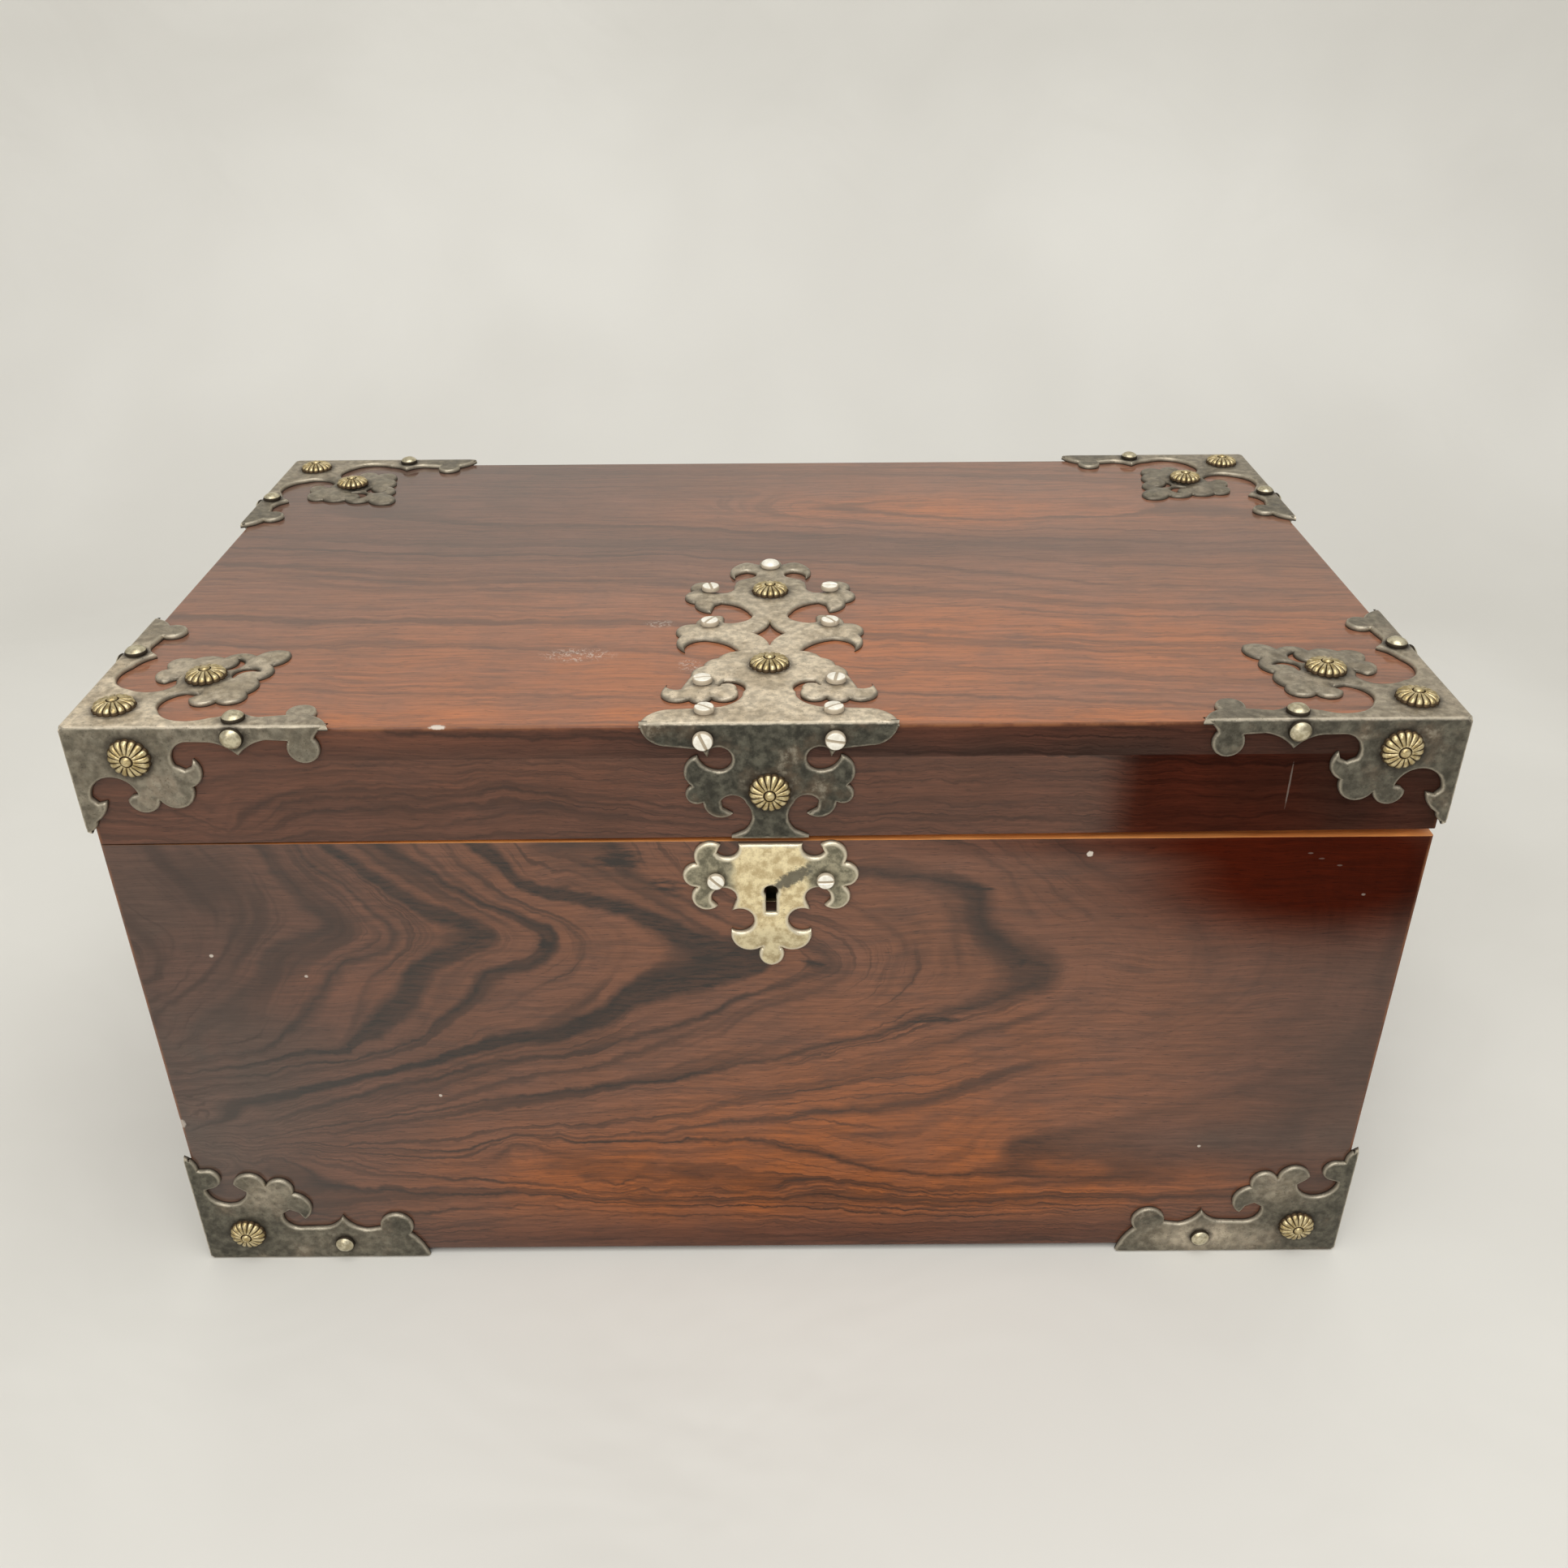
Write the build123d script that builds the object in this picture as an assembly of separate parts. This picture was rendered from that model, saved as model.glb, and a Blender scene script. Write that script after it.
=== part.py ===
from build123d import *
import math
import os

# Antique jewelry box: a veneered rosewood casket with a lift lid, pierced metal mounts,
# a box lock behind a pierced escutcheon, two stop hinges and a lift-out tray.
# Millimetres, +Z up, the front faces -Y, origin under the middle of the box.

# Overall wood sizes
box_width = 303.0
box_depth = 180.0
wood_height = 161.0

# Boards
wall_thickness = 11.0
bottom_thickness = 8.0
lid_top_thickness = 8.0

# Seam between case and lid, wider at the right end
case_height = 131.3
seam_gap_left = 0.3
seam_gap_right = 2.0

# Sheet metal mounts, whose round stretches are cut in chords that each turn at most this many degrees
plate = 1.5
chord_turn = 45.0
fitting_centre_x = 0.7

# Light wood liner that stands above the case rim
lip_thickness = 2.5
lip_rise = 3.5

# Hinges
hinge_offset_x = 95.0
hinge_length = 34.0
hinge_inset = 1.5
hinge_reach = 8.5
leaf_thickness = 1.5
knuckle_radius = 2.4
hinge_pin_radius = 1.1
chamfer_angle = 50.0

# Lock: drops are measured down from the case rim
lock_width = 48.0
lock_height = 30.0
lock_depth = 7.5
lock_sheet = 1.2
selvedge_length = 58.0
selvedge_width = 8.0
keyhole_drop = 13.3
keyhole_radius = 1.6
keyhole_slot_width = 2.4
keyhole_slot_length = 5.9
drill_pin_radius = 0.7
escutcheon_drop = 0.3
bolt_travel = 5.0
bolt_bar_height = 3.5
bolt_bar_end = 10.0
arm_width = 3.0
prong_length = 5.0
prong_height = 2.4
prong_depth = 2.4
talon_width = 5.0
talon_height = 1.5

# Link plate on the lid, whose loops drop into the lock
link_proud = 0.25
link_thickness = 1.5
link_length = 54.0
loop_offset_x = 12.0
loop_length = 9.0
loop_thickness = 2.0
loop_foot = 2.0

# Linings
card_thickness = 1.2
floor_pad_thickness = 1.5
lid_pad_thickness = 4.0

# Tray
tray_height = 36.0
tray_wall = 5.0
tray_floor_thickness = 3.0
tray_below_rim = 3.8
runner_height = 8.0
runner_width = 5.0
divider_thickness = 4.0
divider_height = 24.0
ring_roll_count = 4
finger_scoop_radius = 11.0

# Clearances
pin_clearance = 0.05
knuckle_gap = 0.2
leaf_parting = 0.1
recess_clearance = 0.3
lip_clearance = 0.5
slide_clearance = 0.2
prong_clearance = 0.5
tray_clearance = 1.0
pad_clearance = 0.5
soft_clearance = 0.3

# Nail and screw heads: radius, top radius, height, sides
rosette_head = (4.8, 2.2, 2.8, 12)
dome_head = (2.6, 1.3, 1.9, 8)
screw_head = (2.3, 1.5, 1.3, 8)
small_screw_head = (2.1, 1.4, 1.1, 8)
head_rim = 0.4

# Places of the heads: along and away from a mount's corner, or x and distance from a fitting's edge
lid_side_rosette = (14.3, 7.6)
lid_side_nail = (37.4, 2.9)
lid_top_rosettes = [(9.2, 9.2), (24.4, 24.4)]
lid_top_nails = [(37.3, 3.4), (3.4, 37.3)]
base_rosette = (12.2, 9.9)
base_nail = (37.6, 5.8)
strap_front_rosette = 17.4
strap_front_screw = (14.4, 4.3)
strap_top_rosettes = [28.7, 72.0]
strap_top_nail = 89.2
strap_top_screws = [(14.2, 5.8), (15.2, 20.2), (14.8, 52.0), (15.4, 73.6)]
escutcheon_screw = (12.6, 9.6)

# Derived levels and faces
lid_wall_thickness = wall_thickness - lip_clearance
wood_bottom = plate
wood_top = wood_bottom + wood_height
metal_top = wood_top + plate
rim = wood_bottom + case_height
half_width = box_width / 2
half_depth = box_depth / 2
metal_x = half_width + plate
metal_y = half_depth + plate
inner_x = half_width - wall_thickness
inner_y = half_depth - wall_thickness
floor_level = wood_bottom + bottom_thickness
lid_top_underside = wood_top - lid_top_thickness
axis_y = half_depth - hinge_inset
axis_z = rim + seam_gap_left
lock_middle_y = -inner_y - lock_depth / 2
loop_width = lock_depth - 2 * lock_sheet - 2 * recess_clearance
link_level = rim + (seam_gap_left + seam_gap_right) / 2 - link_proud
link_half_width = lid_wall_thickness - half_depth - lock_middle_y
loop_bottom = link_level - loop_length
prong_low = loop_bottom + loop_foot + prong_clearance
tray_top = rim - tray_below_rim
tray_bottom = tray_top - tray_height
tray_x = inner_x - lip_thickness - tray_clearance
tray_y = inner_y - lip_thickness - tray_clearance


def block(x0, x1, y0, y1, z0, z1):
    """Box between two corners."""
    size = (x1 - x0, y1 - y0, z1 - z0)
    return Pos((x0 + x1) / 2, (y0 + y1) / 2, (z0 + z1) / 2) * Box(*size)


def outline(start, moves):
    """Flat shape: a move is a point for a straight run, or (point on the way, end) for a round one."""
    points = [start]
    for move in moves:
        if isinstance(move[0], tuple):
            arc = ThreePointArc(points[-1], move[0], move[1])
            steps = math.ceil(math.degrees(arc.length / arc.radius) / chord_turn)
            points += [tuple(arc @ (n / steps))[:2] for n in range(1, steps + 1)]
        else:
            points.append(move)
    if math.dist(points[-1], start) < 0.001:
        points.pop()
    return make_face(Polyline(*points, close=True))


def both_sides(half):
    """A flat shape joined to its mirror image across its own x = 0 line."""
    return half + mirror(half, about=Plane.YZ)


def laid(shape, origin, along, away, inward, depth=plate):
    """Plate with the flat shape as its outer face: x runs along, y runs away, depth goes inward."""
    normal = Vector(*along).cross(Vector(*away))
    face = Plane(origin=origin, x_dir=along, z_dir=normal) * shape
    return extrude(face, amount=depth, dir=inward)


def head(size, at, axis):
    """Faceted nail or screw head that sits on a face at a point and points along axis."""
    base_radius, top_radius, height, sides = size
    side_dir = (0, 0, 1) if abs(axis[2]) < 0.5 else (1, 0, 0)
    place = Plane(origin=at, x_dir=side_dir, z_dir=axis)
    block = extrude(place * RegularPolygon(base_radius, sides), amount=height)
    top = block.faces().sort_by(Axis(at, axis))[-1]
    inset = (base_radius - top_radius) * math.cos(math.pi / sides)
    return chamfer(top.edges(), inset, height - head_rim, reference=top)


def seam(x):
    """Height of the lid's lower edge at x."""
    share = (x + half_width) / box_width
    return rim + seam_gap_left + (seam_gap_right - seam_gap_left) * share


def four_corners(piece):
    """A piece made for the front right corner, at all four corners."""
    front = {"front_right": piece, "front_left": mirror(piece, about=Plane.YZ)}
    back = {name.replace("front", "back"): mirror(p, about=Plane.XZ) for name, p in front.items()}
    return {**front, **back}


# Outlines of the mounts: x runs from the box corner along its edge, y away from the edge


def lid_side_outline():
    """Front or side flange of a lid corner mount."""
    return outline((0, 0), [
        (58.4, 0),
        ((56.4, 1.5), (54.9, 3.6)),
        ((52.2, 9.6), (49.2, 4.1)),
        (44.6, 3.8),
        ((41.0, 5.0), (37.8, 7.7)),
        ((35.2, 5.4), (31.8, 4.3)),
        (27.4, 4.2),
        ((23.7, 6.2), (23.4, 10.2)),
        (25.4, 11.2),
        (27.0, 10.4),
        (27.6, 8.6),
        ((28.8, 12.8), (26.2, 15.6)),
        ((22.7, 20.9), (18.3, 18.8)),
        ((14.7, 22.0), (11.2, 18.7)),
        (12.3, 17.6),
        (13.8, 17.3),
        ((8.2, 12.9), (3.2, 18.2)),
        (4.4, 19.6),
        (6.4, 19.1),
        ((5.2, 22.3), (3.0, 24.3)),
        ((2.1, 26.3), (0, 27.2)),
    ])


def lid_top_half():
    """Half of the top flange of a lid corner mount, up to its diagonal."""
    return outline((0, 0), [
        (58.4, 0),
        ((57.0, 2.9), (53.7, 5.6)),
        ((50.4, 10.6), (47.9, 5.8)),
        (42.4, 4.9),
        ((39.6, 6.0), (37.3, 8.2)),
        ((34.8, 5.9), (31.5, 4.6)),
        ((23.6, 3.8), (18.9, 8.6)),
        ((18.3, 14.8), (22.0, 18.0)),
        (25.2, 17.0),
        (23.4, 14.9),
        ((26.2, 11.8), (29.8, 13.7)),
        ((34.8, 13.3), (35.6, 17.9)),
        ((37.1, 21.2), (36.0, 24.7)),
        ((38.4, 28.2), (37.0, 32.0)),
        ((39.8, 35.0), (39.3, 39.3)),
    ])


def lid_top_slot():
    """Crescent slot in the leaf of the top flange."""
    return outline((35.3, 28.4), [((32.6, 30.4), (30.2, 25.2)), ((32.3, 28.4), (35.3, 28.4))])


def base_outline():
    """Front or side flange of a base corner mount."""
    return outline((0, 0), [
        (59.8, 0),
        ((58.3, 4.7), (55.5, 8.6)),
        ((52.0, 15.9), (47.8, 10.8)),
        (43.8, 10.2),
        ((40.6, 11.7), (38.1, 15.2)),
        ((36.2, 12.6), (33.2, 11.2)),
        (26.6, 11.0),
        ((23.0, 12.9), (22.6, 16.6)),
        (24.6, 17.9),
        (26.8, 16.8),
        (28.0, 14.3),
        ((30.4, 19.4), (26.3, 23.6)),
        ((23.2, 28.8), (19.7, 26.6)),
        ((16.2, 30.7), (11.2, 27.0)),
        (14.2, 24.6),
        ((8.9, 19.9), (3.6, 25.3)),
        (6.2, 26.2),
        ((8.2, 29.4), (4.4, 32.2)),
        (3.0, 32.2),
        ((2.2, 35.2), (0, 37.0)),
    ])


def under_outline():
    """Flange under a base corner: two narrow legs."""
    leg, width = 56.0, 13.0
    return outline((0, 0), [(leg, 0), (leg, width), (width, width), (width, leg), (0, leg)])


# Outlines of the middle fittings: x from their centre line, y away from their top or front edge


def strap_front_half():
    """Right half of the strap where it hangs down the lid front."""
    return outline((0, 0), [
        (28.2, 0),
        ((26.8, 4.0), (22.4, 6.1)),
        (14.8, 7.0),
        (13.6, 8.9),
        (13.0, 7.0),
        ((8.4, 8.2), (11.4, 12.3)),
        ((14.2, 11.2), (15.8, 8.5)),
        ((18.9, 12.2), (17.3, 16.1)),
        ((18.5, 19.4), (14.9, 20.4)),
        ((12.8, 23.9), (8.3, 23.4)),
        (10.6, 22.0),
        (10.9, 20.1),
        ((8.0, 18.6), (5.3, 20.8)),
        ((4.1, 24.6), (5.8, 27.9)),
        (8.7, 29.3),
        (8.7, 29.9),
        (0, 29.9),
    ])


def escutcheon_half():
    """Right half of the keyhole escutcheon, y down from its top edge."""
    return outline((0, 0), [
        (7.3, 0),
        ((9.4, 3.6), (12.3, 2.4)),
        (11.4, 0.3),
        ((16.3, 0.5), (16.9, 5.3)),
        ((20.2, 8.6), (16.9, 11.6)),
        ((17.4, 16.9), (12.4, 17.0)),
        (13.7, 15.6),
        ((10.9, 11.9), (8.0, 15.3)),
        (9.1, 18.3),
        ((4.0, 21.4), (9.3, 23.8)),
        ((7.7, 28.8), (2.2, 28.8)),
        ((2.9, 31.7), (0, 34.2)),
    ])


def keyhole_outline():
    """Round eye with a slot below it, y down from the centre of the eye."""
    eye = Circle(keyhole_radius)
    half = keyhole_slot_width / 2
    slot = outline((-half, 0), [(half, 0), (half, keyhole_slot_length), (-half, keyhole_slot_length)])
    return eye + slot


def strap_top_half():
    """Right half of the strap on the lid top, y back from the front edge."""
    return outline((0, 0), [
        (28.2, 0),
        ((27.0, 4.7), (22.5, 7.9)),
        (11.5, 8.7),
        ((7.5, 10.8), (6.0, 15.4)),
        ((6.7, 20.7), (10.4, 21.8)),
        (11.5, 19.6),
        ((8.8, 20.0), (7.4, 17.0)),
        ((8.9, 12.4), (12.9, 13.6)),
        ((15.5, 11.5), (18.0, 13.0)),
        ((22.5, 12.6), (24.4, 16.8)),
        (23.4, 21.0),
        ((22.5, 18.0), (20.2, 17.6)),
        (18.1, 24.6),
        ((17.6, 27.6), (15.5, 29.6)),
        ((14.6, 32.2), (12.3, 33.7)),
        ((10.2, 36.2), (7.2, 36.8)),
        ((10.4, 42.0), (15.6, 44.6)),
        ((18.5, 43.6), (20.2, 38.2)),
        ((22.4, 42.0), (21.7, 46.4)),
        ((22.3, 51.6), (18.4, 53.2)),
        ((15.9, 57.8), (11.4, 57.8)),
        (11.4, 54.0),
        ((6.9, 53.8), (5.2, 60.4)),
        ((8.0, 64.7), (12.4, 67.0)),
        (14.1, 65.4),
        (14.9, 61.0),
        ((18.2, 63.2), (19.2, 67.0)),
        ((21.9, 70.2), (19.9, 74.2)),
        ((17.4, 80.0), (14.0, 77.4)),
        ((11.8, 72.6), (9.5, 76.0)),
        (9.0, 80.0),
        (5.0, 82.0),
        ((3.7, 84.9), (6.0, 87.4)),
        ((8.4, 86.2), (9.3, 82.8)),
        ((10.0, 89.8), (6.0, 92.8)),
        (2.9, 90.8),
        ((2.2, 94.0), (0, 95.4)),
    ])


def diamond():
    """Pierced diamond with hollow sides in the waist of the strap."""
    right = outline((0, 40.0), [((1.5, 44.4), (4.3, 47.4)), ((1.6, 50.2), (0, 54.4))])
    return both_sides(right)


def lid_corner_mount():
    """Sheet metal mount bent over the front right top corner of the lid."""
    corner = (metal_x, -metal_y, metal_top)
    side = lid_side_outline()
    half = lid_top_half() - lid_top_slot()
    diagonal = Plane(origin=(0, 0, 0), x_dir=(1, 1, 0), z_dir=(1, -1, 0))
    top = half + mirror(half, about=diagonal)
    front_flange = laid(side, corner, (-1, 0, 0), (0, 0, -1), (0, 1, 0))
    side_flange = laid(side, corner, (0, 1, 0), (0, 0, -1), (-1, 0, 0))
    top_flange = laid(top, corner, (-1, 0, 0), (0, 1, 0), (0, 0, -1))
    return front_flange + side_flange + top_flange


def base_corner_mount():
    """Sheet metal mount bent over the front right bottom corner of the case."""
    corner = (metal_x, -metal_y, 0)
    side = base_outline()
    front_flange = laid(side, corner, (-1, 0, 0), (0, 0, 1), (0, 1, 0))
    side_flange = laid(side, corner, (0, 1, 0), (0, 0, 1), (-1, 0, 0))
    under_flange = laid(under_outline(), corner, (-1, 0, 0), (0, 1, 0), (0, 0, 1))
    return front_flange + side_flange + under_flange


def strap():
    """Middle strap, bent from the lid top over the lid front."""
    front_edge = (fitting_centre_x, -metal_y, metal_top)
    front = both_sides(strap_front_half())
    top = both_sides(strap_top_half()) - diamond()
    front_plate = laid(front, front_edge, (1, 0, 0), (0, 0, -1), (0, 1, 0))
    top_plate = laid(top, front_edge, (1, 0, 0), (0, 1, 0), (0, 0, -1))
    return front_plate + top_plate


def escutcheon():
    """Pierced keyhole plate on the case front, its top just under the rim."""
    top_edge = (fitting_centre_x, -metal_y, rim - escutcheon_drop)
    hole = Pos(0, keyhole_drop - escutcheon_drop) * keyhole_outline()
    shape = both_sides(escutcheon_half()) - hole
    return laid(shape, top_edge, (1, 0, 0), (0, 0, -1), (0, 1, 0))


# Nails and screws


def corner_heads(size, places, level, down, on_top):
    """Heads on the two upright flanges of every corner, and on the top flange if there are top places."""
    heads = []
    for along, away in places:
        z = level + down * away
        heads.append(head(size, (metal_x - along, -metal_y, z), (0, -1, 0)))
        heads.append(head(size, (metal_x, -metal_y + along, z), (1, 0, 0)))
    for along, away in on_top:
        heads.append(head(size, (metal_x - along, -metal_y + away, metal_top), (0, 0, 1)))
    solids = []
    for piece in heads:
        solids += four_corners(piece).values()
    return Compound(children=solids)


def on_strap_front(size, x, drop):
    """Head on the lid front part of the strap."""
    return head(size, (fitting_centre_x + x, -metal_y, metal_top - drop), (0, -1, 0))


def on_strap_top(size, x, back):
    """Head on the lid top part of the strap."""
    return head(size, (fitting_centre_x + x, -metal_y + back, metal_top), (0, 0, 1))


def strap_rosettes():
    """Flower-headed nails of the strap."""
    top = [on_strap_top(rosette_head, 0, back) for back in strap_top_rosettes]
    return Compound(children=[on_strap_front(rosette_head, 0, strap_front_rosette)] + top)


def strap_screws():
    """Bright screws of the strap, in pairs, and the nail of its finial."""
    x, drop = strap_front_screw
    solids = [on_strap_front(screw_head, s * x, drop) for s in (-1, 1)]
    for x, back in strap_top_screws:
        solids += [on_strap_top(screw_head, s * x, back) for s in (-1, 1)]
    solids.append(on_strap_top(dome_head, 0, strap_top_nail))
    return Compound(children=solids)


def escutcheon_screws():
    """Bright screws at both ends of the escutcheon."""
    x, drop = escutcheon_screw
    z = rim - escutcheon_drop - drop
    places = [(fitting_centre_x + sign * x, -metal_y, z) for sign in (-1, 1)]
    return Compound(children=[head(small_screw_head, place, (0, -1, 0)) for place in places])


# Hinges


def hinge_knuckle(x0, x1, radius):
    """Round bar along the hinge axis."""
    middle = ((x0 + x1) / 2, axis_y, axis_z)
    return Plane(origin=middle, z_dir=(1, 0, 0)) * Cylinder(radius, x1 - x0)


def knuckle_stretches(x):
    """Left, middle and right stretches of a hinge centred at x."""
    third = hinge_length / 3
    starts = [x - hinge_length / 2 + third * i for i in range(3)]
    return [(s + knuckle_gap / 2, s + third - knuckle_gap / 2) for s in starts]


def hinge_leaf(x, low, high, own, other):
    """Leaf between two heights with knuckles on its own stretches, relieved round the other leaf's."""
    x0 = x - hinge_length / 2
    leaf = block(x0, x0 + hinge_length, axis_y - hinge_reach, axis_y, low, high)
    stretches = knuckle_stretches(x)
    for i in other:
        a, b = stretches[i]
        leaf -= hinge_knuckle(a - knuckle_gap, b + knuckle_gap, knuckle_radius + recess_clearance)
    for i in own:
        a, b = stretches[i]
        leaf += hinge_knuckle(a, b, knuckle_radius)
    hole = hinge_knuckle(x0, x0 + hinge_length, hinge_pin_radius + pin_clearance)
    return leaf - hole


def hinge_case_leaf(x):
    """Hinge leaf let into the case rim, with the two outer knuckles."""
    high = axis_z - leaf_parting
    return hinge_leaf(x, high - leaf_thickness, high, own=(0, 2), other=(1,))


def hinge_lid_leaf(x):
    """Hinge leaf let into the lid edge, with the middle knuckle."""
    low = axis_z + leaf_parting
    return hinge_leaf(x, low, low + leaf_thickness, own=(1,), other=(0, 2))


def hinge_pins():
    """Pins of both hinges."""
    starts = [sign * hinge_offset_x - hinge_length / 2 for sign in (-1, 1)]
    return Compound(children=[hinge_knuckle(x, x + hinge_length, hinge_pin_radius) for x in starts])


def hinge_recess(x):
    """Wood cut away for a hinge: the round of its knuckles and the flat of both leaves."""
    x0 = x - hinge_length / 2
    x1 = x0 + hinge_length
    radius = knuckle_radius + recess_clearance
    barrel = hinge_knuckle(x0 - recess_clearance, x1 + recess_clearance, radius)
    reach = leaf_parting + leaf_thickness
    flat = block(x0, x1, axis_y - hinge_reach, axis_y, axis_z - reach, axis_z + reach)
    return barrel + flat


def stop_wedge(direction):
    """Wood cut away behind the hinge axis, so that the bevels meet and stop the open lid."""
    out = hinge_inset + plate
    rise = out * math.tan(math.radians(chamfer_angle))
    points = [
        (axis_y, axis_z),
        (axis_y + out, axis_z + direction * rise),
        (axis_y + out, axis_z - direction * rise),
        (axis_y, axis_z - direction * rise),
    ]
    face = Plane.YZ * make_face(Polyline(*points, close=True))
    return extrude(face, amount=half_width + plate, both=True)


# Case


def case_front():
    """Front board with the lock mortise, the selvedge housing and the keyhole."""
    board = block(-half_width, half_width, -half_depth, -inner_y, wood_bottom, rim)
    x = fitting_centre_x
    mortise = block(x - lock_width / 2, x + lock_width / 2, -inner_y - lock_depth, -inner_y,
                    rim - lock_height, rim)
    housing = block(x - selvedge_length / 2, x + selvedge_length / 2,
                    -inner_y - selvedge_width, -inner_y, rim - lock_sheet, rim)
    return board - mortise - housing - keyhole_cut(-half_depth, -inner_y)


def keyhole_cut(y0, y1):
    """Keyhole through everything between two depths."""
    start = (fitting_centre_x, y0, rim - keyhole_drop)
    return laid(keyhole_outline(), start, (1, 0, 0), (0, 0, -1), (0, 1, 0), y1 - y0)


def case_back():
    """Back board, cut for the hinges and bevelled for the lid stop."""
    board = block(-half_width, half_width, inner_y, half_depth, wood_bottom, rim)
    for x in (-hinge_offset_x, hinge_offset_x):
        board -= hinge_recess(x)
    return board - stop_wedge(-1)


def case_side(sign):
    """Side board between front and back."""
    x0, x1 = sorted((sign * inner_x, sign * half_width))
    return block(x0, x1, -inner_y, inner_y, wood_bottom, rim)


def case_bottom():
    """Bottom board between the four walls."""
    return block(-inner_x, inner_x, -inner_y, inner_y, wood_bottom, floor_level)


def wall_strips(outer_x, outer_y, thickness, z0, z1):
    """Four upright strips against the inside of a rectangle, the long ones between the short ones."""
    front = block(-outer_x + thickness, outer_x - thickness, -outer_y, -outer_y + thickness, z0, z1)
    right = block(outer_x - thickness, outer_x, -outer_y, outer_y, z0, z1)
    return Compound(children=[front, mirror(front, about=Plane.XZ), right, mirror(right, about=Plane.YZ)])


def case_lip():
    """Bare light wood liner that stands above the rim and enters the lid."""
    return wall_strips(inner_x, inner_y, lip_thickness, floor_level, rim + lip_rise)


def case_floor_pad():
    """Velvet-covered card on the case bottom."""
    x = inner_x - lip_thickness - soft_clearance
    y = inner_y - lip_thickness - soft_clearance
    return block(-x, x, -y, y, floor_level, floor_level + floor_pad_thickness)


def case_wall_lining():
    """Velvet-covered cards on the liner, from the floor pad up to the tray runners."""
    low = floor_level + floor_pad_thickness + soft_clearance
    high = tray_bottom - runner_height - soft_clearance
    return wall_strips(inner_x - lip_thickness, inner_y - lip_thickness, card_thickness, low, high)


def tray_runners():
    """Strips on the short sides that carry the tray."""
    x1 = inner_x - lip_thickness
    y1 = inner_y - lip_thickness
    right = block(x1 - runner_width, x1, -y1, y1, tray_bottom - runner_height, tray_bottom)
    return Compound(children=[right, mirror(right, about=Plane.YZ)])


# Lock


def lock_case():
    """Sheet metal lock box with its selvedge, open towards the inside of the case."""
    x = fitting_centre_x
    front = -inner_y - lock_depth
    outer = block(x - lock_width / 2, x + lock_width / 2, front, -inner_y - lock_sheet,
                  rim - lock_height, rim)
    inside = block(x - lock_width / 2 + lock_sheet, x + lock_width / 2 - lock_sheet,
                   front + lock_sheet, -inner_y,
                   rim - lock_height + lock_sheet, rim - lock_sheet)
    selvedge = block(x - selvedge_length / 2, x + selvedge_length / 2,
                     -inner_y - selvedge_width, -inner_y, rim - lock_sheet, rim)
    body = outer - inside + selvedge - keyhole_cut(front, -inner_y)
    for sign in (-1, 1):
        body -= loop_slot(sign)
    return body


def loop_slot(sign):
    """Slot in the selvedge for a loop of the link plate."""
    x = fitting_centre_x + sign * loop_offset_x
    half_x = loop_thickness / 2 + recess_clearance
    half_y = loop_width / 2 + recess_clearance
    return block(x - half_x, x + half_x, lock_middle_y - half_y, lock_middle_y + half_y,
                 rim - lock_sheet, rim)


def lock_cap():
    """Cover plate that closes the lock box."""
    x = fitting_centre_x
    return block(x - lock_width / 2, x + lock_width / 2, -inner_y - lock_sheet, -inner_y,
                 rim - lock_height, rim - lock_sheet)


def drill_pin():
    """Pin on the cover plate that the hollow key turns on."""
    y0 = -inner_y - lock_depth + lock_sheet
    y1 = -inner_y - lock_sheet
    middle = (fitting_centre_x, (y0 + y1) / 2, rim - keyhole_drop)
    return Plane(origin=middle, z_dir=(0, 1, 0)) * Cylinder(drill_pin_radius, y1 - y0)


def lock_bolt():
    """Sliding bolt, drawn back: a bar under the loops with two arms whose prongs point at the eyes."""
    x = fitting_centre_x
    half_y = lock_depth / 2 - lock_sheet - slide_clearance
    y0 = lock_middle_y - half_y
    y1 = lock_middle_y + half_y
    bar_top = loop_bottom - slide_clearance
    bar_bottom = bar_top - bolt_bar_height
    prong_ends = [x + s * loop_offset_x - loop_thickness / 2 - prong_clearance for s in (-1, 1)]
    arm_starts = [end - prong_length - arm_width for end in prong_ends]
    bolt = block(arm_starts[0], x + bolt_bar_end, y0, y1, bar_bottom, bar_top)
    bolt -= block(x - talon_width / 2, x + talon_width / 2, y0, y1, bar_bottom, bar_bottom + talon_height)
    for start, end in zip(arm_starts, prong_ends):
        bolt += block(start, start + arm_width, y0, y1, bar_top, prong_low + prong_height)
        bolt += block(start, end, lock_middle_y - prong_depth / 2, lock_middle_y + prong_depth / 2,
                      prong_low, prong_low + prong_height)
    return bolt


def link_plate():
    """Plate let into the lid edge with two loops that drop into the lock."""
    x = fitting_centre_x
    y = lock_middle_y
    body = block(x - link_length / 2, x + link_length / 2, y - link_half_width, y + link_half_width,
                 link_level, link_level + link_thickness)
    eye_half = prong_depth / 2 + slide_clearance
    eye_low = prong_low - prong_clearance
    eye_high = prong_low + prong_height + prong_clearance
    for sign in (-1, 1):
        x0 = x + sign * loop_offset_x - loop_thickness / 2
        x1 = x0 + loop_thickness
        loop = block(x0, x1, y - loop_width / 2, y + loop_width / 2, loop_bottom, link_level)
        body += loop - block(x0, x1, y - eye_half, y + eye_half, eye_low, eye_high)
    return body


# Lid


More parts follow.
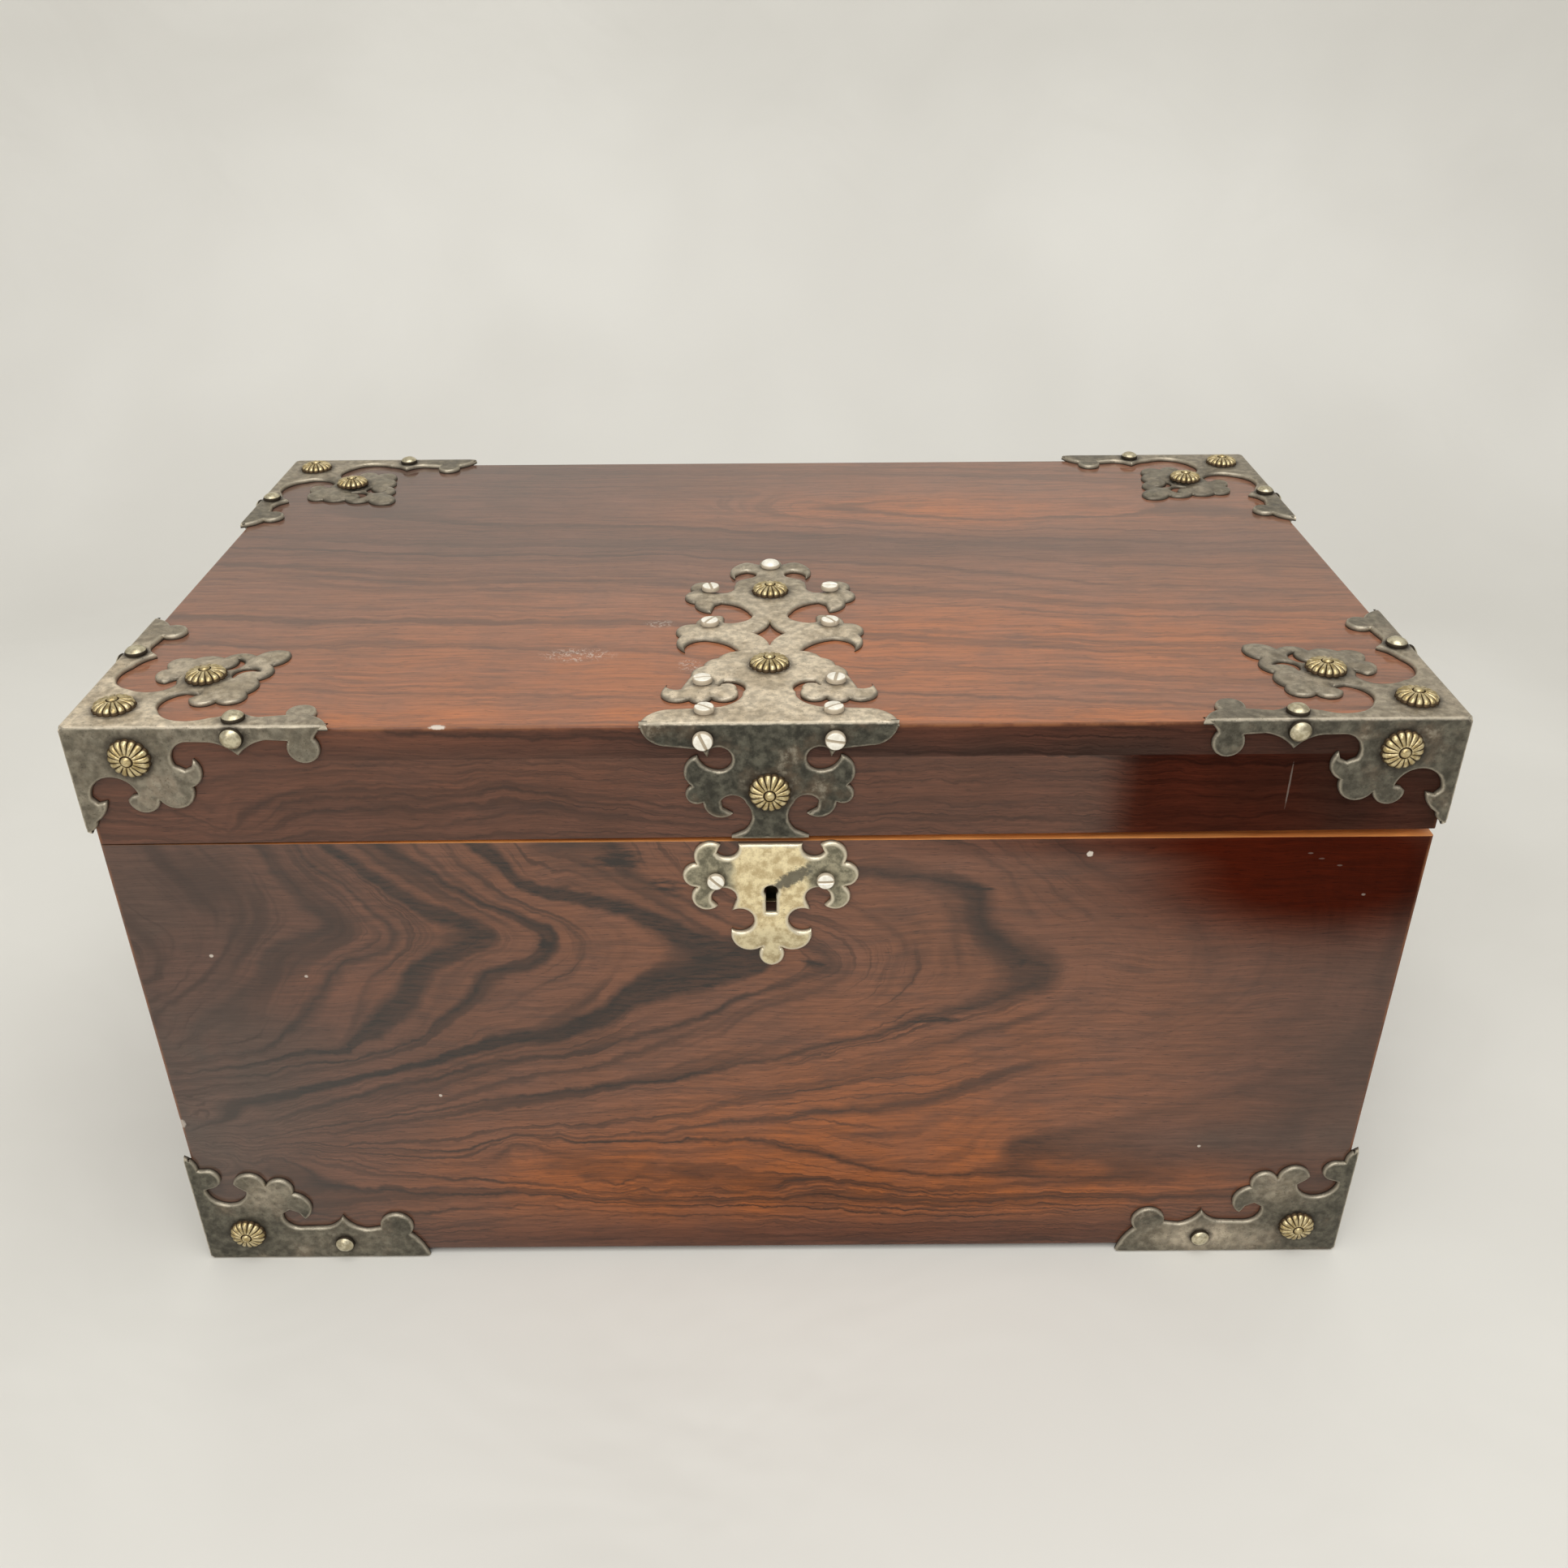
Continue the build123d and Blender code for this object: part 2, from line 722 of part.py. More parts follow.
def lid_rail(x0, x1, y0, y1):
    """Upright lid board whose lower edge follows the slanting seam."""
    corners = [(x0, seam(x0)), (x1, seam(x1)), (x1, lid_top_underside), (x0, lid_top_underside)]
    face = Plane.XZ * make_face(Polyline(*corners, close=True))
    return extrude(Pos(0, y0, 0) * face, amount=y1 - y0, dir=(0, 1, 0))


def lid_front():
    """Front board of the lid, housed for the link plate."""
    x = fitting_centre_x
    y = lock_middle_y
    rail = lid_rail(-half_width, half_width, -half_depth, -half_depth + lid_wall_thickness)
    housing = block(x - link_length / 2, x + link_length / 2, y - link_half_width, y + link_half_width,
                    rim, link_level + link_thickness)
    return rail - housing


def lid_back():
    """Back board of the lid, cut for the hinges and bevelled for the lid stop."""
    rail = lid_rail(-half_width, half_width, half_depth - lid_wall_thickness, half_depth)
    for x in (-hinge_offset_x, hinge_offset_x):
        rail -= hinge_recess(x)
    return rail - stop_wedge(1)


def lid_side(sign):
    """Side board of the lid."""
    x0, x1 = sorted((sign * half_width, sign * (half_width - lid_wall_thickness)))
    y = half_depth - lid_wall_thickness
    return lid_rail(x0, x1, -y, y)


def lid_top():
    """Top board of the lid."""
    return block(-half_width, half_width, -half_depth, half_depth, lid_top_underside, wood_top)


def lid_pad():
    """Padded lining under the lid top."""
    x = half_width - lid_wall_thickness - pad_clearance
    y = half_depth - lid_wall_thickness - pad_clearance
    high = lid_top_underside
    return block(-x, x, -y, y, high - lid_pad_thickness, high)


# Tray


def tray_end(sign):
    """Short tray side with a finger scoop."""
    x0, x1 = sorted((sign * tray_x, sign * (tray_x - tray_wall)))
    board = block(x0, x1, -tray_y, tray_y, tray_bottom, tray_top)
    middle = Plane(origin=((x0 + x1) / 2, 0, tray_top), z_dir=(1, 0, 0))
    return board - middle * Cylinder(finger_scoop_radius, tray_wall)


def tray_long_side(sign):
    """Long tray side between the ends."""
    x = tray_x - tray_wall
    y0, y1 = sorted((sign * tray_y, sign * (tray_y - tray_wall)))
    return block(-x, x, y0, y1, tray_bottom, tray_top)


def tray_floor():
    """Tray bottom between its sides."""
    x = tray_x - tray_wall
    y = tray_y - tray_wall
    return block(-x, x, -y, y, tray_bottom, tray_bottom + tray_floor_thickness)


def divider_lines():
    """Middle lines of the cross dividers and of the long one."""
    inside_x = tray_x - tray_wall
    return [-inside_x / 3, inside_x / 3], 0.0


def tray_divider_long():
    """Long divider from end to end, notched from below where it crosses the short ones."""
    x = tray_x - tray_wall
    low = tray_bottom + tray_floor_thickness
    half = divider_thickness / 2
    cross, y = divider_lines()
    board = block(-x, x, y - half, y + half, low, low + divider_height)
    for line in cross:
        board -= block(line - half, line + half, y - half, y + half, low, low + divider_height / 2)
    return board


def tray_dividers_cross():
    """Short dividers from front to back, notched from above."""
    low = tray_bottom + tray_floor_thickness
    half = divider_thickness / 2
    side = tray_y - tray_wall
    cross, y = divider_lines()
    boards = []
    for line in cross:
        board = block(line - half, line + half, -side, side, low, low + divider_height)
        boards.append(board - block(line - half, line + half, y - half, y + half,
                                    low + divider_height / 2, low + divider_height))
    return Compound(children=boards)


def compartments():
    """Plan rectangles of the six tray compartments, as x0, x1, y0, y1."""
    half = divider_thickness / 2
    side_x = tray_x - tray_wall
    side_y = tray_y - tray_wall
    cross, y = divider_lines()
    columns = [(-side_x, cross[0] - half), (cross[0] + half, cross[1] - half), (cross[1] + half, side_x)]
    rows = [(-side_y, y - half), (y + half, side_y)]
    return [(x0, x1, y0, y1) for y0, y1 in rows for x0, x1 in columns]


def tray_pads():
    """Velvet-covered card in each compartment that has no ring rolls."""
    low = tray_bottom + tray_floor_thickness
    gap = soft_clearance
    pads = []
    for x0, x1, y0, y1 in compartments()[:-1]:
        pads.append(block(x0 + gap, x1 - gap, y0 + gap, y1 - gap, low, low + floor_pad_thickness))
    return Compound(children=pads)


def ring_rolls():
    """Half-round velvet rolls that fill the last compartment and grip rings between them."""
    x0, x1, y0, y1 = compartments()[-1]
    low = tray_bottom + tray_floor_thickness
    pitch = (y1 - y0) / ring_roll_count
    radius = pitch / 2 - soft_clearance
    rolls = []
    for i in range(ring_roll_count):
        y = y0 + pitch * (i + 0.5)
        arc = ThreePointArc((y + radius, low), (y, low + radius), (y - radius, low))
        section = make_face([Line((y - radius, low), (y + radius, low)), arc])
        rolls.append(extrude(Pos(x0 + soft_clearance, 0, 0) * (Plane.YZ * section),
                             amount=x1 - x0 - 2 * soft_clearance, dir=(1, 0, 0)))
    return Compound(children=rolls)


def all_parts():
    """Every sub-part by node name."""
    parts = {
        "case_front": case_front(),
        "case_back": case_back(),
        "case_left": case_side(-1),
        "case_right": case_side(1),
        "case_bottom": case_bottom(),
        "case_lip": case_lip(),
        "case_floor_pad": case_floor_pad(),
        "case_wall_lining": case_wall_lining(),
        "tray_runners": tray_runners(),
        "base_rosettes": corner_heads(rosette_head, [base_rosette], 0, 1, []),
        "base_nails": corner_heads(dome_head, [base_nail], 0, 1, []),
        "escutcheon": escutcheon(),
        "escutcheon_screws": escutcheon_screws(),
        "lock_case": lock_case(),
        "lock_cap": lock_cap(),
        "lock_drill_pin": drill_pin(),
        "lock_bolt": lock_bolt(),
        "hinge_case_leaf_left": hinge_case_leaf(-hinge_offset_x),
        "hinge_case_leaf_right": hinge_case_leaf(hinge_offset_x),
        "hinge_lid_leaf_left": hinge_lid_leaf(-hinge_offset_x),
        "hinge_lid_leaf_right": hinge_lid_leaf(hinge_offset_x),
        "hinge_pins": hinge_pins(),
        "lid_top": lid_top(),
        "lid_front": lid_front(),
        "lid_back": lid_back(),
        "lid_left": lid_side(-1),
        "lid_right": lid_side(1),
        "lid_pad": lid_pad(),
        "lid_rosettes": corner_heads(rosette_head, [lid_side_rosette], metal_top, -1, lid_top_rosettes),
        "lid_nails": corner_heads(dome_head, [lid_side_nail], metal_top, -1, lid_top_nails),
        "strap": strap(),
        "strap_rosettes": strap_rosettes(),
        "strap_screws": strap_screws(),
        "link_plate": link_plate(),
        "tray_front": tray_long_side(-1),
        "tray_back": tray_long_side(1),
        "tray_left": tray_end(-1),
        "tray_right": tray_end(1),
        "tray_floor": tray_floor(),
        "tray_divider_long": tray_divider_long(),
        "tray_dividers_cross": tray_dividers_cross(),
        "tray_pads": tray_pads(),
        "ring_rolls": ring_rolls(),
    }
    for place, mount in four_corners(lid_corner_mount()).items():
        parts["lid_mount_" + place] = mount
    for place, mount in four_corners(base_corner_mount()).items():
        parts["base_mount_" + place] = mount
    return parts


os.makedirs("parts", exist_ok=True)
for node, shape in all_parts().items():
    export_step(shape, f"parts/{node}.step")
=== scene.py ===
import math
from functools import partialmethod

import bmesh
import bpy
import numpy as np
from mathutils import Matrix, Vector
from mathutils.geometry import delaunay_2d_cdt


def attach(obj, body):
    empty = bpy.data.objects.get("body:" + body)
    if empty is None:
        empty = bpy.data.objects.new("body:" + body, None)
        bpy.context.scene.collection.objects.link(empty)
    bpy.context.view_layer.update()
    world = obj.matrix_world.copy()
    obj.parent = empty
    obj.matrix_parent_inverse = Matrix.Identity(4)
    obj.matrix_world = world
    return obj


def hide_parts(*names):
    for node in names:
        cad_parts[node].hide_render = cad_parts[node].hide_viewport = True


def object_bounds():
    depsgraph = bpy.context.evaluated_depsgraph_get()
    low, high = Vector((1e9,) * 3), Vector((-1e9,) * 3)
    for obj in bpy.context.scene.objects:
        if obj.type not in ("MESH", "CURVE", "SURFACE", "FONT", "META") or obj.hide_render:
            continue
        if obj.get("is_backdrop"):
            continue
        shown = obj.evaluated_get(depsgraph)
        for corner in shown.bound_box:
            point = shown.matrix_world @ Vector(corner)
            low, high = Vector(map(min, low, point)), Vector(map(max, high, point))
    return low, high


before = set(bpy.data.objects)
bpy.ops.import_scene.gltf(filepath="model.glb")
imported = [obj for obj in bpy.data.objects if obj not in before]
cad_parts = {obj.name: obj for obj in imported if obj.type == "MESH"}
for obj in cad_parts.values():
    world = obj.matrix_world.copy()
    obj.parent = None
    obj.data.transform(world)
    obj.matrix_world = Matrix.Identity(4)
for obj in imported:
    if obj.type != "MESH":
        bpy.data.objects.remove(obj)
cad_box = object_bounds()

# Antique jewelry box: figured rosewood casket with pierced mounts, petal nails, a box lock,
# a lift-out tray and velvet linings. Lengths below are millimetres unless a name says otherwise.

MM = 0.001

# Levels and faces of the frame
wood_x = 151.5
wood_y = 90.0
wood_low = 1.5
wood_high = 162.5
metal_x = 153.0
metal_y = 91.5
metal_high = 164.0
rim = 132.8
seam_high = 135.0
fitting_x = 0.7
plate_thick = 1.5
escutcheon_top = 132.5


# Meshes


def new_object(name, data):
    """Object for a mesh, camera or light, linked to the scene."""
    obj = bpy.data.objects.new(name, data)
    bpy.context.scene.collection.objects.link(obj)
    return obj


def piece(name, mesh, body, nodes, material):
    """Visible piece that rides on a body and stands for CAD nodes."""
    obj = new_object(name, mesh)
    for one in material if isinstance(material, list) else [material]:
        mesh.materials.append(one)
    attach(obj, body)
    if nodes:
        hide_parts(*nodes)
    return obj


def set_smooth(mesh, angle):
    """Smooth shading where faces meet under an angle, or flat faces without one."""
    mesh.polygons.foreach_set("use_smooth", [angle is not None] * len(mesh.polygons))
    if angle is not None:
        mesh.set_sharp_from_angle(angle=math.radians(angle))


def mesh_of(name, points, faces, values=None, smooth_angle=None):
    """Mesh from points in millimetres, with point attributes."""
    mesh = bpy.data.meshes.new(name)
    mesh.from_pydata([tuple(p) for p in np.asarray(points, float) * MM], [], faces)
    for key, numbers in (values or {}).items():
        attribute = mesh.attributes.new(key, "FLOAT", "POINT")
        attribute.data.foreach_set("value", np.asarray(numbers, np.float32))
    set_smooth(mesh, smooth_angle)
    mesh.validate()
    return mesh


def finished(bm, name, smooth_angle=None):
    """Mesh of an edited copy."""
    mesh = bpy.data.meshes.new(name)
    bm.to_mesh(mesh)
    bm.free()
    set_smooth(mesh, smooth_angle)
    return mesh


class Builder:
    """Collects points, faces and point values of one piece."""

    def __init__(self):
        self.points = []
        self.faces = []
        self.values = {}

    def add(self, points, faces, values, flip=False):
        start = sum(len(p) for p in self.points)
        self.points.append(np.asarray(points, float))
        for face in faces:
            ids = [start + int(i) for i in face]
            self.faces.append(ids[::-1] if flip else ids)
        for key, numbers in values.items():
            self.values.setdefault(key, []).append(np.asarray(numbers, float))

    def mesh(self, name, smooth_angle=35):
        values = {key: np.concatenate(parts) for key, parts in self.values.items()}
        return mesh_of(name, np.concatenate(self.points), self.faces, values, smooth_angle)


# Flat outlines


def arc(start, middle, end, step):
    """Points along the circle through three points, the first one left out."""
    (ax, ay), (bx, by), (cx, cy) = start, middle, end
    d = 2 * (ax * (by - cy) + bx * (cy - ay) + cx * (ay - by))
    a2, b2, c2 = ax * ax + ay * ay, bx * bx + by * by, cx * cx + cy * cy
    ux = (a2 * (by - cy) + b2 * (cy - ay) + c2 * (ay - by)) / d
    uy = (a2 * (cx - bx) + b2 * (ax - cx) + c2 * (bx - ax)) / d
    radius = math.dist(start, (ux, uy))
    first = math.atan2(ay - uy, ax - ux)
    turn = (math.atan2(by - uy, bx - ux) - first) % (2 * math.pi)
    whole = (math.atan2(cy - uy, cx - ux) - first) % (2 * math.pi)
    if turn > whole:
        whole -= 2 * math.pi
    count = max(3, math.ceil(abs(whole) * radius / step))
    angles = [first + whole * (i + 1) / count for i in range(count)]
    return [(ux + radius * math.cos(t), uy + radius * math.sin(t)) for t in angles]


def path(start, moves, step=0.5, straight_step=1.4):
    """Points along straight runs and arcs: a move is a point, or (point on the way, end)."""
    points = [start]
    for move in moves:
        here = points[-1]
        if isinstance(move[0], tuple):
            points += arc(here, move[0], move[1], step)
        else:
            count = max(1, math.ceil(math.dist(here, move) / straight_step))
            points += [tuple(a + (b - a) * (i + 1) / count for a, b in zip(here, move))
                       for i in range(count)]
    return points


def closed(points):
    """Outline without a repeated last point."""
    return points[:-1] if math.dist(points[0], points[-1]) < 1e-6 else points


def mirrored(points, swap=False):
    """The same points mirrored in x = 0, or in the diagonal, in reverse order."""
    if swap:
        return [(y, x) for x, y in reversed(points)]
    return [(-x, y) for x, y in reversed(points)]


LID_SIDE = path((0, 0), [
    (58.4, 0), ((56.4, 1.5), (54.9, 3.6)), ((52.2, 9.6), (49.2, 4.1)), (44.6, 3.8),
    ((41.0, 5.0), (37.8, 7.7)), ((35.2, 5.4), (31.8, 4.3)), (27.4, 4.2), ((23.7, 6.2), (23.4, 10.2)),
    (25.4, 11.2), (27.0, 10.4), (27.6, 8.6), ((28.8, 12.8), (26.2, 15.6)), ((22.7, 20.9), (18.3, 18.8)),
    ((14.7, 22.0), (11.2, 18.7)), (12.3, 17.6), (13.8, 17.3), ((8.2, 12.9), (3.2, 18.2)), (4.4, 19.6),
    (6.4, 19.1), ((5.2, 22.3), (3.0, 24.3)), ((2.1, 26.3), (0, 27.2)), (0, 0),
])

LID_TOP_HALF = path((0, 0), [
    (58.4, 0), ((57.0, 2.9), (53.7, 5.6)), ((50.4, 10.6), (47.9, 5.8)), (42.4, 4.9),
    ((39.6, 6.0), (37.3, 8.2)), ((34.8, 5.9), (31.5, 4.6)), ((23.6, 3.8), (18.9, 8.6)),
    ((18.3, 14.8), (22.0, 18.0)), (25.2, 17.0), (23.4, 14.9), ((26.2, 11.8), (29.8, 13.7)),
    ((34.8, 13.3), (35.6, 17.9)), ((37.1, 21.2), (36.0, 24.7)), ((38.4, 28.2), (37.0, 32.0)),
    ((39.8, 35.0), (39.3, 39.3)),
])
LID_TOP = LID_TOP_HALF + mirrored(LID_TOP_HALF, swap=True)[1:]
LID_TOP_SLOT = path((35.3, 28.4), [((32.6, 30.4), (30.2, 25.2)), ((32.3, 28.4), (35.3, 28.4))], 0.4)

BASE_SIDE = path((0, 0), [
    (59.8, 0), ((58.3, 4.7), (55.5, 8.6)), ((52.0, 15.9), (47.8, 10.8)), (43.8, 10.2),
    ((40.6, 11.7), (38.1, 15.2)), ((36.2, 12.6), (33.2, 11.2)), (26.6, 11.0),
    ((23.0, 12.9), (22.6, 16.6)), (24.6, 17.9), (26.8, 16.8), (28.0, 14.3),
    ((30.4, 19.4), (26.3, 23.6)), ((23.2, 28.8), (19.7, 26.6)), ((16.2, 30.7), (11.2, 27.0)),
    (14.2, 24.6), ((8.9, 19.9), (3.6, 25.3)), (6.2, 26.2), ((8.2, 29.4), (4.4, 32.2)), (3.0, 32.2),
    ((2.2, 35.2), (0, 37.0)), (0, 0),
])
BASE_UNDER = path((0, 0), [
    (56.0, 0), (56.0, 13.0), (13.0, 13.0), (13.0, 56.0), (0, 56.0), (0, 0),
])

STRAP_FRONT_HALF = path((0, 0), [
    (28.2, 0), ((26.8, 4.0), (22.4, 6.1)), (14.8, 7.0), (13.6, 8.9), (13.0, 7.0),
    ((8.4, 8.2), (11.4, 12.3)), ((14.2, 11.2), (15.8, 8.5)), ((18.9, 12.2), (17.3, 16.1)),
    ((18.5, 19.4), (14.9, 20.4)), ((12.8, 23.9), (8.3, 23.4)), (10.6, 22.0), (10.9, 20.1),
    ((8.0, 18.6), (5.3, 20.8)), ((4.1, 24.6), (5.8, 27.9)), (8.7, 29.3), (8.7, 29.9), (0, 29.9),
])
STRAP_FRONT = STRAP_FRONT_HALF + mirrored(STRAP_FRONT_HALF)[1:]

STRAP_TOP_HALF = path((0, 0), [
    (28.2, 0), ((27.0, 4.7), (22.5, 7.9)), (11.5, 8.7), ((7.5, 10.8), (6.0, 15.4)),
    ((6.7, 20.7), (10.4, 21.8)), (11.5, 19.6), ((8.8, 20.0), (7.4, 17.0)), ((8.9, 12.4), (12.9, 13.6)),
    ((15.5, 11.5), (18.0, 13.0)), ((22.5, 12.6), (24.4, 16.8)), (23.4, 21.0),
    ((22.5, 18.0), (20.2, 17.6)), (18.1, 24.6), ((17.6, 27.6), (15.5, 29.6)),
    ((14.6, 32.2), (12.3, 33.7)), ((10.2, 36.2), (7.2, 36.8)), ((10.4, 42.0), (15.6, 44.6)),
    ((18.5, 43.6), (20.2, 38.2)), ((22.4, 42.0), (21.7, 46.4)), ((22.3, 51.6), (18.4, 53.2)),
    ((15.9, 57.8), (11.4, 57.8)), (11.4, 54.0), ((6.9, 53.8), (5.2, 60.4)), ((8.0, 64.7), (12.4, 67.0)),
    (14.1, 65.4), (14.9, 61.0), ((18.2, 63.2), (19.2, 67.0)), ((21.9, 70.2), (19.9, 74.2)),
    ((17.4, 80.0), (14.0, 77.4)), ((11.8, 72.6), (9.5, 76.0)), (9.0, 80.0), (5.0, 82.0),
    ((3.7, 84.9), (6.0, 87.4)), ((8.4, 86.2), (9.3, 82.8)), ((10.0, 89.8), (6.0, 92.8)), (2.9, 90.8),
    ((2.2, 94.0), (0, 95.4)),
])
STRAP_TOP = STRAP_TOP_HALF + mirrored(STRAP_TOP_HALF)[1:]
DIAMOND_HALF = path((0, 40.0), [((1.5, 44.4), (4.3, 47.4)), ((1.6, 50.2), (0, 54.4))])
DIAMOND = DIAMOND_HALF + mirrored(DIAMOND_HALF)[1:]

ESCUTCHEON_HALF = path((0, 0), [
    (7.3, 0), ((9.4, 3.6), (12.3, 2.4)), (11.4, 0.3), ((16.3, 0.5), (16.9, 5.3)),
    ((20.2, 8.6), (16.9, 11.6)), ((17.4, 16.9), (12.4, 17.0)), (13.7, 15.6),
    ((10.9, 11.9), (8.0, 15.3)), (9.1, 18.3), ((4.0, 21.4), (9.3, 23.8)), ((7.7, 28.8), (2.2, 28.8)),
    ((2.9, 31.7), (0, 34.2)),
])
ESCUTCHEON = ESCUTCHEON_HALF + mirrored(ESCUTCHEON_HALF)[1:]
KEYHOLE = path((-1.2, 14.06), [
    (-1.2, 18.9), (1.2, 18.9), (1.2, 14.06), ((0, 11.4), (-1.2, 14.06)),
], 0.3, 0.6)


# Plates with rounded edges

# Where the rings of points lie in from a plate's edge, and how near their place they must be
plate_offsets = (0.14, 0.34, 0.62, 0.95)
ring_keep = 0.93
ring_gap = 0.16
hex_row = 0.866


def inside(points, loop):
    """Which points lie inside a closed loop."""
    a = np.asarray(loop)
    b = np.roll(a, -1, axis=0)
    x, y = points[:, 0, None], points[:, 1, None]
    crosses = (a[:, 1] > y) != (b[:, 1] > y)
    with np.errstate(divide="ignore", invalid="ignore"):
        at = a[:, 0] + (y - a[:, 1]) * (b[:, 0] - a[:, 0]) / (b[:, 1] - a[:, 1])
    return (crosses & (x < at)).sum(axis=1) % 2 == 1


def within(points, loops):
    """Which points lie inside the first loop and outside the others."""
    good = inside(points, loops[0])
    for hole in loops[1:]:
        good &= ~inside(points, hole)
    return good


def distance(points, segments):
    """Distance from each point to the nearest of some straight segments."""
    a = np.array([s[0] for s in segments])
    b = np.array([s[1] for s in segments])
    best = np.zeros(len(points))
    along = b - a
    length = np.maximum((along ** 2).sum(axis=1), 1e-12)
    at_once = 400
    for i in range(0, len(points), at_once):
        p = points[i:i + at_once, None, :]
        t = np.clip(((p - a) * along).sum(axis=2) / length, 0, 1)
        near = a + t[..., None] * along
        best[i:i + at_once] = np.sqrt(((p - near) ** 2).sum(axis=2)).min(axis=1)
    return best


def triangles(points, loops, extra):
    """Triangles between loops and extra points, as indices into all of them."""
    edges = []
    start = 0
    for loop in loops:
        count = len(loop)
        edges += [(start + i, start + (i + 1) % count) for i in range(count)]
        start += count
    every = [Vector((float(x), float(y))) for x, y in list(points) + list(extra)]
    found = delaunay_2d_cdt(every, edges, [], 0, 1e-6)
    coords = np.array([tuple(v) for v in found[0]])
    faces = np.array([list(f) for f in found[2]])
    return coords, faces[within(coords[faces].mean(axis=1), loops)]


def ring_points(loops, offsets):
    """Points at some distances inside the loops, where they stay that far from every edge."""
    arrays = [np.asarray(loop) for loop in loops]
    segments = [pair for a in arrays for pair in zip(a, np.roll(a, -1, axis=0))]
    kept = []
    for a in arrays:
        along = np.roll(a, -1, axis=0) - np.roll(a, 1, axis=0)
        along /= np.maximum(np.linalg.norm(along, axis=1), 1e-9)[:, None]
        normal = np.stack([-along[:, 1], along[:, 0]], axis=1)
        for offset in offsets:
            for sign in (-1, 1):
                points = a + sign * normal * offset
                points = points[within(points, loops)]
                kept.append(points[distance(points, segments) > ring_keep * offset])
    return np.concatenate(kept)


def hex_points(loop, spacing):
    """Even points over the box of a loop."""
    a = np.asarray(loop)
    low, high = a.min(axis=0), a.max(axis=0)
    rows = int((high[1] - low[1]) / (spacing * hex_row)) + 1
    columns = int((high[0] - low[0]) / spacing) + 1
    return np.array([(low[0] + (c + 0.5 * (r % 2)) * spacing, low[1] + r * spacing * hex_row)
                     for r in range(rows) for c in range(columns)])


def thinned(points, gap):
    """Points with near repeats left out."""
    seen = {}
    for p in points:
        seen.setdefault((round(p[0] / gap), round(p[1] / gap)), p)
    return np.array(list(seen.values()))


def relief(loops, on_bend, depth, thickness=plate_thick, offsets=plate_offsets, spacing=1.15):
    """Closed plate: its points with depth, its faces, and each point's distance to a free edge."""
    loops = [closed(list(loop)) for loop in loops]
    every = [(p, q) for loop in loops for p, q in zip(loop, loop[1:] + loop[:1])]
    free = [(p, q) for p, q in every if not (on_bend(p) and on_bend(q))]
    inner = hex_points(loops[0], spacing)
    inner = inner[within(inner, loops)]
    inner = inner[distance(inner, every) > offsets[-1] + 0.35 * spacing]
    border = [p for loop in loops for p in loop]
    extra = np.concatenate([thinned(ring_points(loops, offsets), ring_gap), inner])
    top, top_faces = triangles(border, loops, extra)
    base, base_faces = triangles(border, loops, [])
    edge = distance(top, free)
    count = len(top)
    points = np.concatenate([np.column_stack([top, depth(top, edge)]),
                             np.column_stack([base, np.full(len(base), thickness)])])
    faces = [list(f) for f in top_faces] + [list(f[::-1] + count) for f in base_faces]
    start = 0
    for n, loop in enumerate(loops):
        ids = list(range(start, start + len(loop)))
        start += len(loop)
        area = sum(p[0] * q[1] - q[0] * p[1] for p, q in zip(loop, loop[1:] + loop[:1]))
        ahead = (area > 0) == (n == 0)
        for i, j in zip(ids, ids[1:] + ids[:1]):
            wall = [j, i, i + count, j + count]
            faces.append(wall if ahead else wall[::-1])
    return points, faces, np.concatenate([edge, np.zeros(len(base))])


def rounded(distance_in, radius):
    """Depth of a quarter round that starts at a plate's edge."""
    rest = np.clip(radius - distance_in, 0, radius)
    return radius - np.sqrt(np.maximum(radius ** 2 - rest ** 2, 0))


edge_round = 0.62
bend_round = 0.9
mitre = bend_round * (1 - math.sqrt(0.5))


def plate(loops, bend_x=False, bend_y=True, swell=None):
    """Plate whose edges on x = 0 and y = 0 bend over to the next plate, and whose lobes may swell."""
    bends = [axis for axis, bent in ((0, bend_x), (1, bend_y)) if bent]

    def bend_distance(at):
        """Distance to the nearest bend."""
        return np.min([np.full(len(at), 9.0)] + [at[:, axis] for axis in bends], axis=0)

    def depth(at, edge):
        down = rounded(edge, edge_round) + 0.16 * np.exp(-(edge / 1.5) ** 2)
        if swell:
            down += swell(at) * np.exp(-(edge / 2.2) ** 2)
        return np.maximum(down, rounded(bend_distance(at), bend_round))

    points, faces, edge = relief(loops, lambda p: any(p[axis] < 1e-6 for axis in bends), depth)
    for axis in bends:
        points[:, axis] = np.maximum(points[:, axis], mitre)
    near = bend_distance(points)
    points[:, 2] = np.maximum(points[:, 2], rounded(near, bend_round))
    swollen = swell(points[:, :2]) if swell else np.zeros(len(points))
    return points, faces, edge, near, swollen


def head_rings(points, centres, radius):
    """Dark ring round each nail that stands on a plate."""
    dirt_and_shade = np.zeros(len(points))
    for centre, size in centres:
        away = np.linalg.norm(points[:, :2] - np.asarray(centre), axis=1)
        dirt_and_shade = np.maximum(dirt_and_shade, np.exp(-((away - size) / radius) ** 2) * (away > size - 0.6))
    return dirt_and_shade


